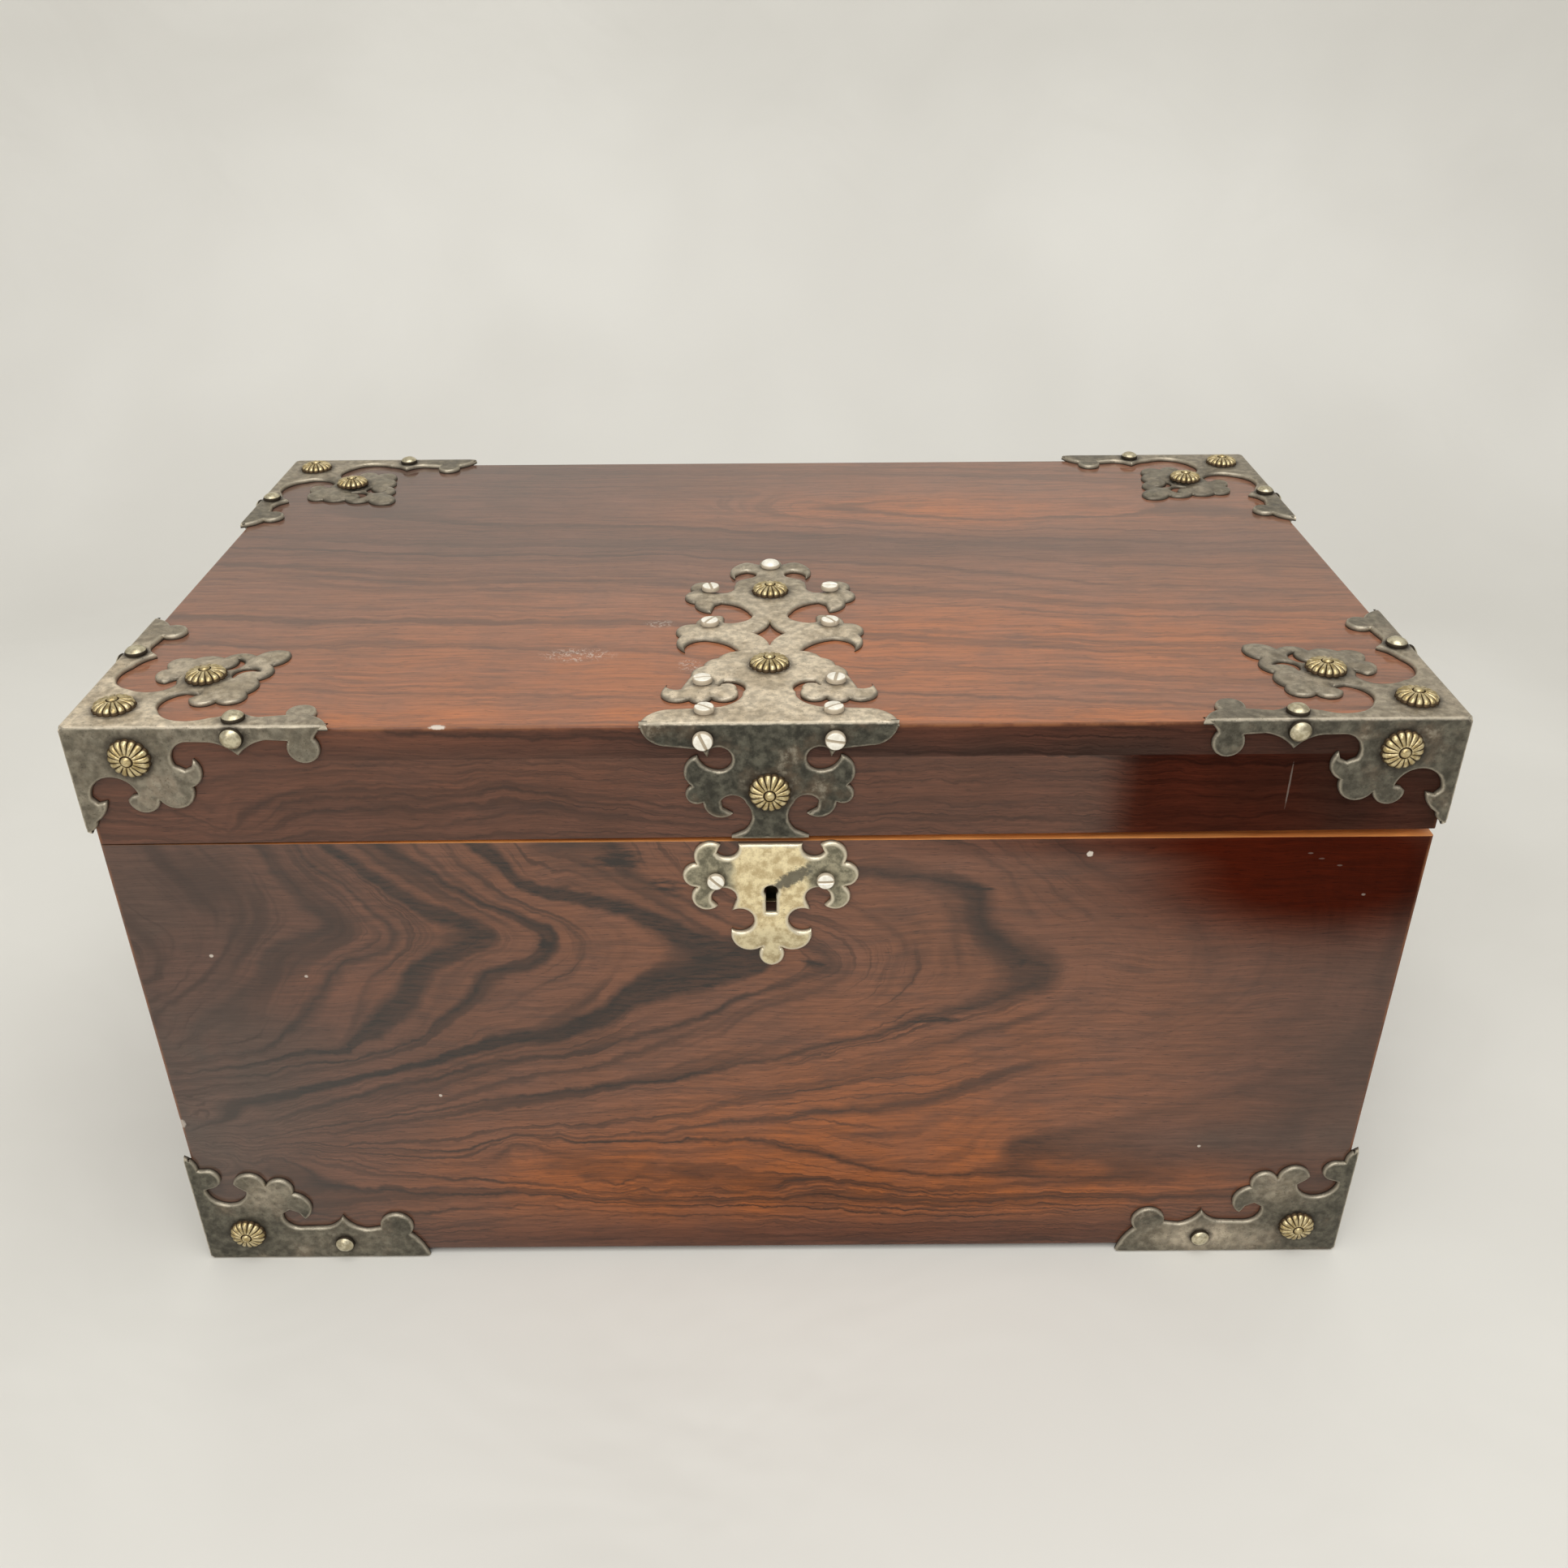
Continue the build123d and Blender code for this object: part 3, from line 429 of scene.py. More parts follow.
def add_plate(builder, made, heads, sand, origin, along, away, inward):
    """Adds a flat plate, placed along three axes, with what its shader reads."""
    points, faces, edge, near, swollen = made
    axes = np.array([along, away, inward], float)
    # Lower points of the walls: a painted shadow line where the plate meets the wood
    under = points[:, 2] > plate_thick - 0.01
    # Painted shade along the edges of swollen lobes
    painted_lobe_shade = 1.7 * swollen * np.exp(-(edge / 0.55) ** 2)
    values = {
        "edge": edge,
        "bend": near,
        "dirt_and_shade": np.maximum(head_rings(points, heads, 0.75), np.where(under, 1.3, painted_lobe_shade)),
        "sand": sand(points) if callable(sand) else np.full(len(points), sand),
    }
    builder.add(np.asarray(origin, float) + points @ axes, faces, values, np.linalg.det(axes) > 0)


# Nail and screw heads


def lathe_grid(radii, count):
    """Points and faces of a round cap: rings of a given radius, outside in, and a middle point."""
    points = []
    for r in radii:
        points += [(r, 2 * math.pi * i / count) for i in range(count)]
    faces = []
    for ring in range(len(radii) - 1):
        a, b = ring * count, (ring + 1) * count
        for i in range(count):
            j = (i + 1) % count
            faces.append([a + i, a + j, b + j, b + i])
    middle = len(points)
    points.append((0.0, 0.0))
    last = (len(radii) - 1) * count
    faces += [[last + i, last + (i + 1) % count, middle] for i in range(count)]
    faces.append(list(range(count - 1, -1, -1)))
    return np.array(points), faces


def smoothstep(low, high, x):
    t = np.clip((x - low) / (high - low), 0, 1)
    return t * t * (3 - 2 * t)


petals = 16


def rosette():
    """Domed flower nail: sixteen petals round a button."""
    radii = [4.75, 4.75, 4.6, 4.35, 4.0, 3.5, 2.9, 2.3, 1.8, 1.5, 1.32, 1.2, 1.05, 0.85, 0.5]
    polar, faces = lathe_grid(radii, petals * 8)
    r, t = polar[:, 0], polar[:, 1]
    wave = np.abs(np.cos(petals / 2 * t))
    crest = np.power(wave, 0.55)
    outer = r > 1.3
    scallop = 1 - 0.085 * (1 - crest) * smoothstep(2.5, 4.75, r)
    dome = 2.15 * np.sqrt(np.maximum(1 - (r / 5.3) ** 2, 0))
    petal = 0.42 * smoothstep(1.2, 2.4, r) * (crest - 1)
    lip = -0.75 * smoothstep(4.0, 4.75, r) ** 2
    height = dome + petal + lip
    ring = -0.45 * np.exp(-((r - 1.25) / 0.16) ** 2)
    button = 0.5 * np.sqrt(np.maximum(1 - (r / 1.22) ** 2, 0))
    height = height + ring + np.where(r < 1.22, button, 0)
    height = np.maximum(height, 0.25)
    height[:petals * 8] = 0.0
    groove = np.where(outer, (1 - crest) * smoothstep(1.2, 1.9, r), 0)
    groove = np.maximum(groove, np.exp(-((r - 1.27) / 0.17) ** 2))
    groove = np.maximum(groove, np.where(height < 0.5, 0.8, 0))
    x = r * scallop * np.cos(t)
    y = r * scallop * np.sin(t)
    return np.column_stack([x, y, np.minimum(height, 2.78)]), faces, groove


def dome_nail():
    """Round-headed nail with a slightly dented crown."""
    sides = 28
    polar, faces = lathe_grid([2.55, 2.58, 2.5, 2.3, 2.0, 1.6, 1.1, 0.6], sides)
    r, t = polar[:, 0], polar[:, 1]
    height = 1.85 * np.sqrt(np.maximum(1 - (r / 2.62) ** 2, 0))
    height += 0.05 * np.sin(3 * t + 1.0) * smoothstep(0.3, 1.6, r) * smoothstep(2.5, 2.0, r)
    height[:sides] = 0.0
    height[sides:2 * sides] = np.maximum(height[sides:2 * sides], 0.3)
    points = np.column_stack([r * np.cos(t), r * np.sin(t), np.minimum(height, 1.88)])
    return points, faces, smoothstep(2.2, 2.55, r)


def screw(radius, tall):
    """Slotted screw head, slightly domed."""
    circle = path((radius, 0), [((0, radius), (-radius, 0)), ((0, -radius), (radius, 0))], 0.35)
    slot_half = 0.26

    def depth(at, edge):
        slot = smoothstep(slot_half + 0.08, slot_half - 0.08, np.abs(at[:, 1]))
        crown = 0.18 * (np.hypot(at[:, 0], at[:, 1]) / radius) ** 2
        return rounded(edge, 0.35) + crown + 0.45 * slot

    points, faces, edge = relief([circle], lambda p: False, depth, tall, (0.12, 0.3), 0.19)
    groove = np.maximum(np.exp(-(points[:, 1] / 0.32) ** 4), smoothstep(0.35, 0.05, edge) * 0.8)
    return points * (1, 1, -1) + (0, 0, tall), [f[::-1] for f in faces], groove


def add_head(builder, made, at, normal, turn):
    """Adds a head that stands on a face, turned about its own middle."""
    points, faces, groove = made
    n = Vector(normal)
    side = Vector((0, 0, 1)) if abs(n.z) < 0.5 else Vector((1, 0, 0))
    turned = Matrix.Rotation(turn, 3, n) @ side
    axes = np.array([turned, n.cross(turned), n])
    builder.add(np.asarray(at, float) + points @ axes, faces, {"groove": groove})


def corners():
    """Name and signs of the four corners."""
    for y_name, sy in (("front", -1), ("back", 1)):
        for x_name, sx in (("left", -1), ("right", 1)):
            yield y_name + "_" + x_name, sx, sy


lid_side_rosette = (14.3, 7.6)
lid_side_nail = (37.4, 2.9)
lid_top_rosettes = [(9.2, 9.2), (24.4, 24.4)]
lid_top_nails = [(37.3, 3.4), (3.4, 37.3)]
base_rosette = (12.2, 9.9)
base_nail = (37.6, 5.8)
strap_front_rosette = 17.4
strap_front_screw = (14.4, 4.3)
strap_top_rosettes = [28.7, 72.0]
strap_top_nail = 89.2
strap_top_screws = [(14.2, 5.8), (15.2, 20.2), (14.8, 52.0), (15.4, 73.6)]
escutcheon_screw = (12.6, 9.6)


def corner_heads(builder, made, place, level, rise, on_top):
    """Heads of one kind on all four corners."""
    along_side, away_side = place
    z = level + rise * away_side
    for index, (_, sx, sy) in enumerate(corners()):
        turn = 0.7 * index
        add_head(builder, made, (sx * (metal_x - along_side), sy * metal_y, z), (0, sy, 0), turn)
        add_head(builder, made, (sx * metal_x, sy * (metal_y - along_side), z), (sx, 0, 0), turn + 0.4)
        for n, (along, away) in enumerate(on_top):
            at = (sx * (metal_x - along), sy * (metal_y - away), metal_high)
            add_head(builder, made, at, (0, 0, 1), 0.5 * index + 0.9 * n)


# Node materials


class Shader:
    """A node material and short ways to add to it."""

    def __init__(self, name):
        self.material = bpy.data.materials.new(name)
        self.material.use_nodes = True
        self.tree = self.material.node_tree
        self.out = self.tree.nodes["Principled BSDF"]
        place = self.add("ShaderNodeTexCoord").outputs["Object"]
        self.place = self.resized(place, 1000.0)
        self.x, self.y, self.z = self.split(self.place)

    def put(self, socket, value):
        if isinstance(value, bpy.types.NodeSocket):
            self.tree.links.new(value, socket)
        elif value is not None:
            socket.default_value = value

    def add(self, kind, inputs=(), **settings):
        """A node with its settings, and pairs of an input's name or number and what goes in."""
        node = self.tree.nodes.new(kind)
        for key, value in settings.items():
            setattr(node, key, value)
        for key, value in inputs:
            self.put(node.inputs[key], value)
        return node

    def set(self, **values):
        for key, value in values.items():
            self.put(self.out.inputs[key.replace("_", " ")], value)

    def math(self, operation, *values, clamp=False):
        node = self.add("ShaderNodeMath", enumerate(values), operation=operation, use_clamp=clamp)
        return node.outputs[0]

    plus = partialmethod(math, "ADD")
    minus = partialmethod(math, "SUBTRACT")
    times = partialmethod(math, "MULTIPLY")
    scaled = partialmethod(math, "MULTIPLY_ADD")
    most = partialmethod(math, "MAXIMUM")
    least = partialmethod(math, "MINIMUM")

    def vector(self, operation, *values):
        return self.add("ShaderNodeVectorMath", enumerate(values), operation=operation).outputs[0]

    def resized(self, value, scale):
        inputs = ((0, value), ("Scale", scale))
        return self.add("ShaderNodeVectorMath", inputs, operation="SCALE").outputs[0]

    def join(self, x, y, z):
        return self.add("ShaderNodeCombineXYZ", enumerate((x, y, z))).outputs[0]

    def split(self, value):
        return tuple(self.add("ShaderNodeSeparateXYZ", [(0, value)]).outputs)

    def read(self, name):
        return self.add("ShaderNodeAttribute", attribute_name=name).outputs["Fac"]

    def noise(self, at, scale, detail=3.0, rough=0.5, distortion=0.0):
        inputs = zip(("Vector", "Scale", "Detail", "Roughness", "Distortion"),
                     (at, scale, detail, rough, distortion))
        return self.add("ShaderNodeTexNoise", inputs).outputs["Fac"]

    def remap(self, value, low, high, to_low=0.0, to_high=1.0, smooth=True):
        inputs = zip(("Value", "From Min", "From Max", "To Min", "To Max"),
                     (value, low, high, to_low, to_high))
        kind = "SMOOTHSTEP" if smooth else "LINEAR"
        return self.add("ShaderNodeMapRange", inputs, interpolation_type=kind).outputs[0]

    linear = partialmethod(remap, smooth=False)

    def ramp(self, value, stops):
        node = self.add("ShaderNodeValToRGB", [(0, value)])
        elements = node.color_ramp.elements
        while len(elements) < len(stops):
            elements.new(1.0)
        for element, (at, tone) in zip(elements, stops):
            element.position = at
            element.color = (*tone, 1.0) if isinstance(tone, tuple) else (tone, tone, tone, 1.0)
        return node.outputs[0]

    def mix(self, share, a, b, blend="MIX"):
        sides = [(*side, 1.0) if isinstance(side, tuple) else side for side in (a, b)]
        inputs = zip((0, 6, 7), (share, *sides))
        return self.add("ShaderNodeMix", inputs, data_type="RGBA", blend_type=blend).outputs[2]

    def shade(self, base, share):
        """A colour made darker or lighter by a number."""
        return self.mix(1.0, base, self.join(share, share, share), "MULTIPLY")

    def bump(self, height, distance, strength=1.0, normal=None):
        inputs = (("Height", height), ("Strength", strength), ("Distance", distance * MM),
                  ("Normal", normal))
        return self.add("ShaderNodeBump", inputs).outputs[0]


# Figure of the veneer: drawn lines of equal grain


def spline_field(lines):
    """Smooth field through lines of points, each line with its own value."""
    places = []
    values = []
    for value, points in lines:
        for a, b in zip(points, points[1:] + points[-1:]):
            count = max(1, round(math.dist(a, b) / 9.0))
            for i in range(count):
                places.append((a[0] + (b[0] - a[0]) * i / count, a[1] + (b[1] - a[1]) * i / count))
                values.append(value)
    at = np.array(places) / 100.0

    def kernel(p, q):
        r2 = ((p[:, None, :] - q[None, :, :]) ** 2).sum(axis=2)
        return 0.5 * r2 * np.log(np.maximum(r2, 1e-12))

    n = len(at)
    flat = np.column_stack([np.ones(n), at])
    whole = np.zeros((n + 3, n + 3))
    whole[:n, :n] = kernel(at, at) + 2e-4 * np.eye(n)
    whole[:n, n:] = flat
    whole[n:, :n] = flat.T
    weights = np.linalg.solve(whole, np.concatenate([values, np.zeros(3)]))

    def field(points):
        p = np.asarray(points, float) / 100.0
        return kernel(p, at) @ weights[:n] + np.column_stack([np.ones(len(p)), p]) @ weights[n:]

    return field


# Front of the case: x, height above the case's lower edge
FRONT_LINES = [
    (-1.0, [(-150, 118), (-140, 104), (-146, 92)]),
    (0.2, [(-132, 131), (-122, 118), (-122, 108), (-134, 96), (-149, 84)]),
    (1.0, [(-118, 132), (-113, 124), (-109, 117), (-104, 112), (-101.5, 109), (-105, 105), (-113, 103),
           (-119, 100), (-121, 95), (-126, 90.5), (-135, 82), (-148, 72)]),
    (2.0, [(-107, 131), (-99, 122), (-94, 115), (-89, 110), (-87.5, 106.5), (-89, 102), (-94, 99.5),
           (-100, 97), (-104, 92), (-110, 85), (-116, 79), (-126, 71)]),
    (3.0, [(-100, 129), (-92, 122), (-84, 115), (-78, 111.5), (-70, 108.5), (-69, 105), (-70, 104),
           (-75, 100), (-82, 98), (-86, 95), (-88, 90), (-94, 84), (-98, 78), (-106, 72)]),
    (4.0, [(-85, 130), (-78, 125), (-72, 119), (-67, 115.5), (-61, 112), (-55, 109), (-51, 106),
           (-52, 101), (-56, 97), (-65, 94), (-70, 90), (-72, 86), (-78, 81), (-84, 76), (-94, 71)]),
    (6.0, [(-66, 131), (-61, 126), (-58, 122), (-54, 119), (-46, 116), (-39, 113.5), (-32, 110.5),
           (-25, 107.5), (-19, 104), (-12, 101), (-4, 96.5), (-8, 94.5), (-16, 93), (-28, 90.5),
           (-32, 88.5), (-36, 85), (-41, 81), (-49, 78), (-58, 75), (-69, 72), (-80, 69), (-90, 66),
           (-120, 58), (-150, 50)]),
    (7.0, [(-37, 131), (-33, 122), (-25, 117.5), (-18, 114), (-8, 108.5), (4, 103), (12, 99), (15, 97),
           (8, 92), (0, 89.5), (-7, 87), (-13, 83), (-19, 79.5), (-28, 76.5), (-37, 72.5), (-46, 69.5),
           (-58, 68), (-74, 64), (-94, 59), (-124, 49), (-150, 42)]),
    (9.0, [(-4, 131), (20, 123), (48, 117), (49, 110), (53, 104), (60, 99), (66, 92), (54, 85), (46, 82),
           (38, 80), (30, 75), (23, 72), (10, 69), (0, 66), (-30, 60), (-70, 53), (-110, 45), (-134, 40)]),
    (11.0, [(75, 131), (100, 120), (118, 100), (112, 84), (90, 70), (60, 62), (20, 56), (-20, 50),
            (-70, 45), (-110, 40)]),
    (13.0, [(150, 128), (148, 90), (150, 66), (120, 56), (100, 49), (83, 43), (62, 37), (70, 34.5),
            (90, 32), (120, 30), (150, 26)]),
    (14.4, [(-150, 39), (-120, 36), (-110, 34), (-100, 32), (-80, 29), (-68, 26), (-40, 23), (0, 19.5)]),
    (14.0, [(-68, 37), (-54, 35), (-40, 33), (-24, 30.5), (-10, 28), (0, 26), (25, 22.5), (60, 19),
            (100, 17), (150, 17)]),
    (16.4, [(-150, 27), (-98, 22), (-84, 20.5), (-68, 20), (-40, 18), (-10, 15.5), (10, 13.5), (30, 12),
            (50, 11.5), (70, 11.7), (90, 11), (150, 9)]),
    (18.6, [(-150, 9), (-84, 6), (-40, 5), (0, 4), (40, 5), (70, 6), (110, 3), (150, 1)]),
]

# Front of the lid: x, height in the frame
LID_FRONT_LINES = [
    (0.0, [(-150, 131), (-90, 131), (-40, 132), (20, 133), (80, 133), (150, 134)]),
    (1.0, [(-90, 134.5), (-84, 136.5), (-74, 138.3), (-64, 139.5), (-54, 140.5), (-44, 140), (-30, 138.8),
           (-15, 137.5), (20, 138), (60, 138.5), (150, 139)]),
    (2.0, [(-112, 136), (-107, 140), (-100, 142), (-92, 143.2), (-80, 144), (-70, 146.3), (-60, 147.3),
           (-50, 146.5), (-36, 144.6), (-15, 142.5), (20, 143.2), (75, 143), (150, 143.5)]),
    (3.0, [(-122, 135), (-119, 140), (-113, 144.5), (-104, 147.4), (-94, 148.2), (-80, 149), (-60, 151.2),
           (-44, 150.5), (-20, 148.2), (10, 148.8), (75, 148.6), (150, 149)]),
    (4.0, [(-150, 147), (-128, 149.5), (-110, 151.8), (-90, 152.6), (-70, 154), (-50, 153.4), (-25, 151.8),
           (10, 152.4), (40, 152), (75, 151.8), (150, 152.4)]),
    (5.0, [(-150, 156), (-100, 157), (-50, 157.4), (0, 156.6), (60, 156.2), (150, 156.8)]),
    (6.0, [(-150, 161.5), (-60, 161.6), (20, 161), (80, 160.6), (150, 161)]),
]

# Top of the lid: x, y
LID_TOP_LINES = [
    (-1.0, [(-150, -90), (0, -89), (150, -90)]),
    (0.0, [(-150, -76), (-80, -73), (0, -74), (70, -78), (150, -77)]),
    (1.0, [(-150, -62), (-90, -58), (-30, -57), (20, -62), (90, -63), (150, -60)]),
    (2.0, [(-150, -45), (-90, -42), (-30, -38), (30, -42), (90, -47), (150, -44)]),
    (3.2, [(-150, -22), (-100, -24), (-40, -17), (20, -20), (80, -27), (150, -24)]),
    (4.2, [(-150, 2), (-90, -2), (-30, 4), (40, 3), (90, -6), (150, -3)]),
    (5.4, [(-150, 22), (-80, 20), (-30, 24), (20, 20), (90, 14), (150, 17)]),
    (6.4, [(-150, 43), (-80, 40), (-30, 44), (0, 37), (60, 30), (110, 36), (150, 38)]),
    (7.0, [(10, 44), (60, 40), (100, 46), (60, 54), (20, 52)]),
    (6.6, [(-150, 60), (-80, 61), (-20, 64), (50, 66), (110, 60), (150, 60)]),
    (8.0, [(-150, 82), (-60, 84), (40, 86), (150, 84)]),
]

front_field = spline_field(FRONT_LINES)
lid_front_field = spline_field(LID_FRONT_LINES)
lid_top_field = spline_field(LID_TOP_LINES)


def blob(p, x, y, half_x, half_y):
    """Soft oval patch over points."""
    return np.exp(-(((p[:, 0] - x) / half_x) ** 2 + ((p[:, 1] - y) / half_y) ** 2))


# What the veneer's shader reads: grain phase and its slope, share of dark ink lines, warmth, darker tone
# (mostly a painted dark reflection), dark patches, coat gloss with a painted pale sheen, share without
# streaks, and the place along and across the board
VENEER_VALUES = ("phase", "steep", "ink", "warm", "tone", "stain", "gloss_and_sheen", "calm", "run", "rise")

# Dark patches of the case front: x, height, half width, half height
FRONT_STAINS = [
    (-34, 126, 8, 5), (-24, 119, 8, 2.2), (-14, 99, 8, 4.2), (-30, 89, 6, 2.6), (11, 96, 4.5, 2.6),
    (-53, 103, 2.6, 5), (-52, 118, 7, 2.2), (48, 118, 5, 2.4), (60, 96, 6, 3), (38, 79, 10, 2.0),
]


def steepness(field, p):
    """How fast a field changes over each millimetre."""
    right = np.array([1.0, 0.0])
    up = np.array([0.0, 1.0])
    return np.hypot(field(p + right) - field(p - right), field(p + up) - field(p - up)) / 2


def front_look(p):
    """Veneer values of the case front, in the order of their names but for run and rise."""
    q = p - np.array([0, wood_low])
    warm = 0.42 + 0.64 * blob(q, -5, 24, 105, 19) + 0.3 * blob(q, 40, 66, 70, 40)
    warm += 0.16 * blob(q, -40, 112, 60, 20) + 0.24 * blob(q, -108, 90, 22, 9)
    warm += 0.34 * blob(q, 92, 22, 44, 8) - 0.2 * blob(q, 0, 2, 160, 6)
    warm -= 0.46 * blob(q, -155, 60, 50, 90) + 0.3 * blob(q, 155, 60, 36, 60)
    warm += 0.16 * blob(q, 10, 44, 80, 22)
    warm -= 0.45 * blob(q, 108, 38, 38, 6.0)
    # Darker tone: a painted dark reflection at the upper right, plus darker strips along the edges
    tone = 1.15 * blob(q, 126, 121, 42, 17) + 0.25 * blob(q, 150, 80, 45, 60)
    tone += (0.34 * blob(q, -152, 96, 60, 60) + 0.45 * blob(q, 80, 130, 60, 4)
             + 0.4 * blob(q, 20, 4, 170, 7))
    ink = (1.0 - 0.62 * smoothstep(62, 92, q[:, 0])) * (0.45 + 0.55 * smoothstep(-148, -116, q[:, 0]))
    stain = np.zeros(len(q))
    for x, y, half_x, half_y in FRONT_STAINS:
        stain = np.maximum(stain, blob(q, x, y, 1.25 * half_x, 1.25 * half_y))
    # Coat gloss, also laid into the colour as a painted pale sheen; weaker at the bottom middle and where
    # the painted dark reflection lies
    gloss_and_sheen = 0.84 - 0.55 * blob(q, 10, 20, 100, 20) + 0.46 * blob(q, -145, 50, 60, 90)
    gloss_and_sheen *= 1 - smoothstep(0.1, 0.9, tone)
    calm = 0.8 * smoothstep(58, 84, q[:, 0]) * smoothstep(24, 44, q[:, 1])
    return (front_field(q), steepness(front_field, q), ink, warm, np.minimum(tone, 1), 0.62 * stain,
            gloss_and_sheen, calm)


def lid_front_look(p):
    """The same for the lid's front."""
    # Warmer, lighter band along the top edge: edge wear and a painted highlight
    warm = 0.34 + 0.55 * blob(p, 10, 162.5, 240, 1.6) + 0.1 * blob(p, -40, 148, 80, 6)
    warm += 0.34 * blob(p, 52, 160, 27, 3.4) - 0.62 * blob(p, 160, 146, 50, 30)
    # Darker tone: a painted dark reflection across the right part of the lid front
    tone = 0.26 + 0.64 * smoothstep(71, 85, p[:, 0]) * (1 - 0.24 * smoothstep(112, 145, p[:, 0]))
    # Coat gloss and painted pale sheen, weaker where the painted dark reflection lies and towards the
    # right
    gloss_and_sheen = 0.62 * (1 - smoothstep(0.2, 0.9, tone)) * (1 - 0.6 * smoothstep(90, 140, p[:, 0]))
    ink = (0.34 + 0.3 * blob(p, -76, 143, 46, 9)) * smoothstep(-136, -112, p[:, 0])
    nothing = np.zeros(len(p))
    return (lid_front_field(p) * 1.14 + 11.86, 1.14 * steepness(lid_front_field, p), ink, warm, tone,
            nothing, gloss_and_sheen, nothing)


def lid_top_look(p):
    """The same for the lid's top."""
    warm = 0.54 + 0.42 * blob(p, 50, 44, 62, 16) + 0.38 * blob(p, 40, -44, 130, 24)
    # Warmer, lighter band along the front edge: edge wear and a painted highlight
    warm += 0.24 * blob(p, -40, -72, 150, 18) + 0.9 * blob(p, -10, -89, 170, 5.5)
    warm -= 0.38 * blob(p, -110, 80, 90, 60) + 0.25 * blob(p, 10, 16, 170, 12)
    tone = 0.3 * blob(p, -100, 80, 80, 50) + 0.15 * blob(p, -20, 18, 160, 14)
    nothing = np.zeros(len(p))
    return (lid_top_field(p) * 2.4 + 40, 2.4 * steepness(lid_top_field, p), nothing, warm, tone,
            nothing, nothing + 1.0, nothing)


def plain_look(along, across, offset):
    """Straight grain that runs level on the sides, back and insides."""
    phase = across * 0.16 + along * 0.006 + offset
    nothing = np.zeros(len(phase))
    return (phase, nothing + 0.16, nothing, nothing + 0.36, nothing + 0.15, nothing, nothing + 0.7,
            nothing)


def paint_veneer(mesh, front, top):
    """Writes what the shader reads at every face corner, by the way the face looks."""
    ids = np.zeros(len(mesh.loops), int)
    mesh.loops.foreach_get("vertex_index", ids)
    at = np.zeros(len(mesh.vertices) * 3)
    mesh.vertices.foreach_get("co", at)
    at = at.reshape(-1, 3)[ids] / MM
    corners_of = np.zeros(len(mesh.polygons), int)
    mesh.polygons.foreach_get("loop_total", corners_of)
    normal = np.zeros(len(mesh.polygons) * 3)
    mesh.polygons.foreach_get("normal", normal)
    normal = np.repeat(normal.reshape(-1, 3), corners_of, axis=0)
    x, y, z = at.T
    facing_x, _, facing_z = (np.abs(normal) > 0.75).T
    result = np.array(plain_look(x, z, 120.0))
    side = np.array(plain_look(y, z, 60.0 + 7.3 * (x > 0)))
    level = np.array(plain_look(x, y, 90.0))
    result[:, facing_x] = side[:, facing_x]
    result[:, facing_z] = level[:, facing_z]
    toward = (normal[:, 1] < -0.5) & (y < -wood_y + 1.0)
    upward = (normal[:, 2] > 0.5) & (z > wood_high - 1.0)
    for look, picked, flat in ((top, upward, at[:, [0, 1]]), (front, toward, at[:, [0, 2]])):
        if look and picked.any():
            result[:, picked] = np.array(look(flat[picked]))
    run = np.where(facing_x, y, x)
    rise = np.where(facing_z, y, z)
    for name, values in zip(VENEER_VALUES, (*result, run, rise)):
        attribute = mesh.attributes.new(name, "FLOAT", "CORNER")
        attribute.data.foreach_set("value", values.astype(np.float32))


# Boards


def clean_copy(node):
    """Editable copy of a CAD node's mesh with whole faces."""
    bm = bmesh.new()
    bm.from_mesh(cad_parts[node].data)
    bmesh.ops.remove_doubles(bm, verts=bm.verts, dist=2e-6)
    bmesh.ops.dissolve_limit(bm, angle_limit=math.radians(0.6), verts=bm.verts, edges=bm.edges)
    return bm


def on_planes(edge):
    """How many of the box's outer planes an edge lies on."""
    return sum(all(abs(v.co[axis] - value * MM) < 1e-5 for v in edge.verts)
               for axis, value in outer_planes)


def bevel(bm, edges, width, segments):
    """Rounds some edges."""
    if edges:
        bmesh.ops.bevel(bm, geom=edges, offset=width * MM, offset_type="OFFSET", segments=segments,
                        profile=0.5, affect="EDGES", clamp_overlap=True)


def cut_grid(bm, faces, axis, start, stop, step):
    """Cuts faces along parallel planes, from the low side to the high side."""
    normal = Vector([1.0 if i == axis else 0.0 for i in range(3)])
    todo = list(faces)
    done = []
    for at in np.arange(start, stop, step):
        geometry = set(todo)
        for f in todo:
            geometry.update(f.edges)
            geometry.update(f.verts)
        found = bmesh.ops.bisect_plane(bm, geom=list(geometry), dist=1e-7,
                                       plane_co=normal * float(at) * MM, plane_no=normal)
        cut = [g for g in found["geom"] if isinstance(g, bmesh.types.BMFace)]
        todo = [f for f in cut if f.calc_center_median()[axis] > at * MM]
        done += [f for f in cut if f.calc_center_median()[axis] <= at * MM]
    return done + todo


outer_planes = [(0, -wood_x), (0, wood_x), (1, -wood_y), (1, wood_y), (2, wood_low), (2, wood_high)]
corner_round = 0.7
arris_round = 0.28


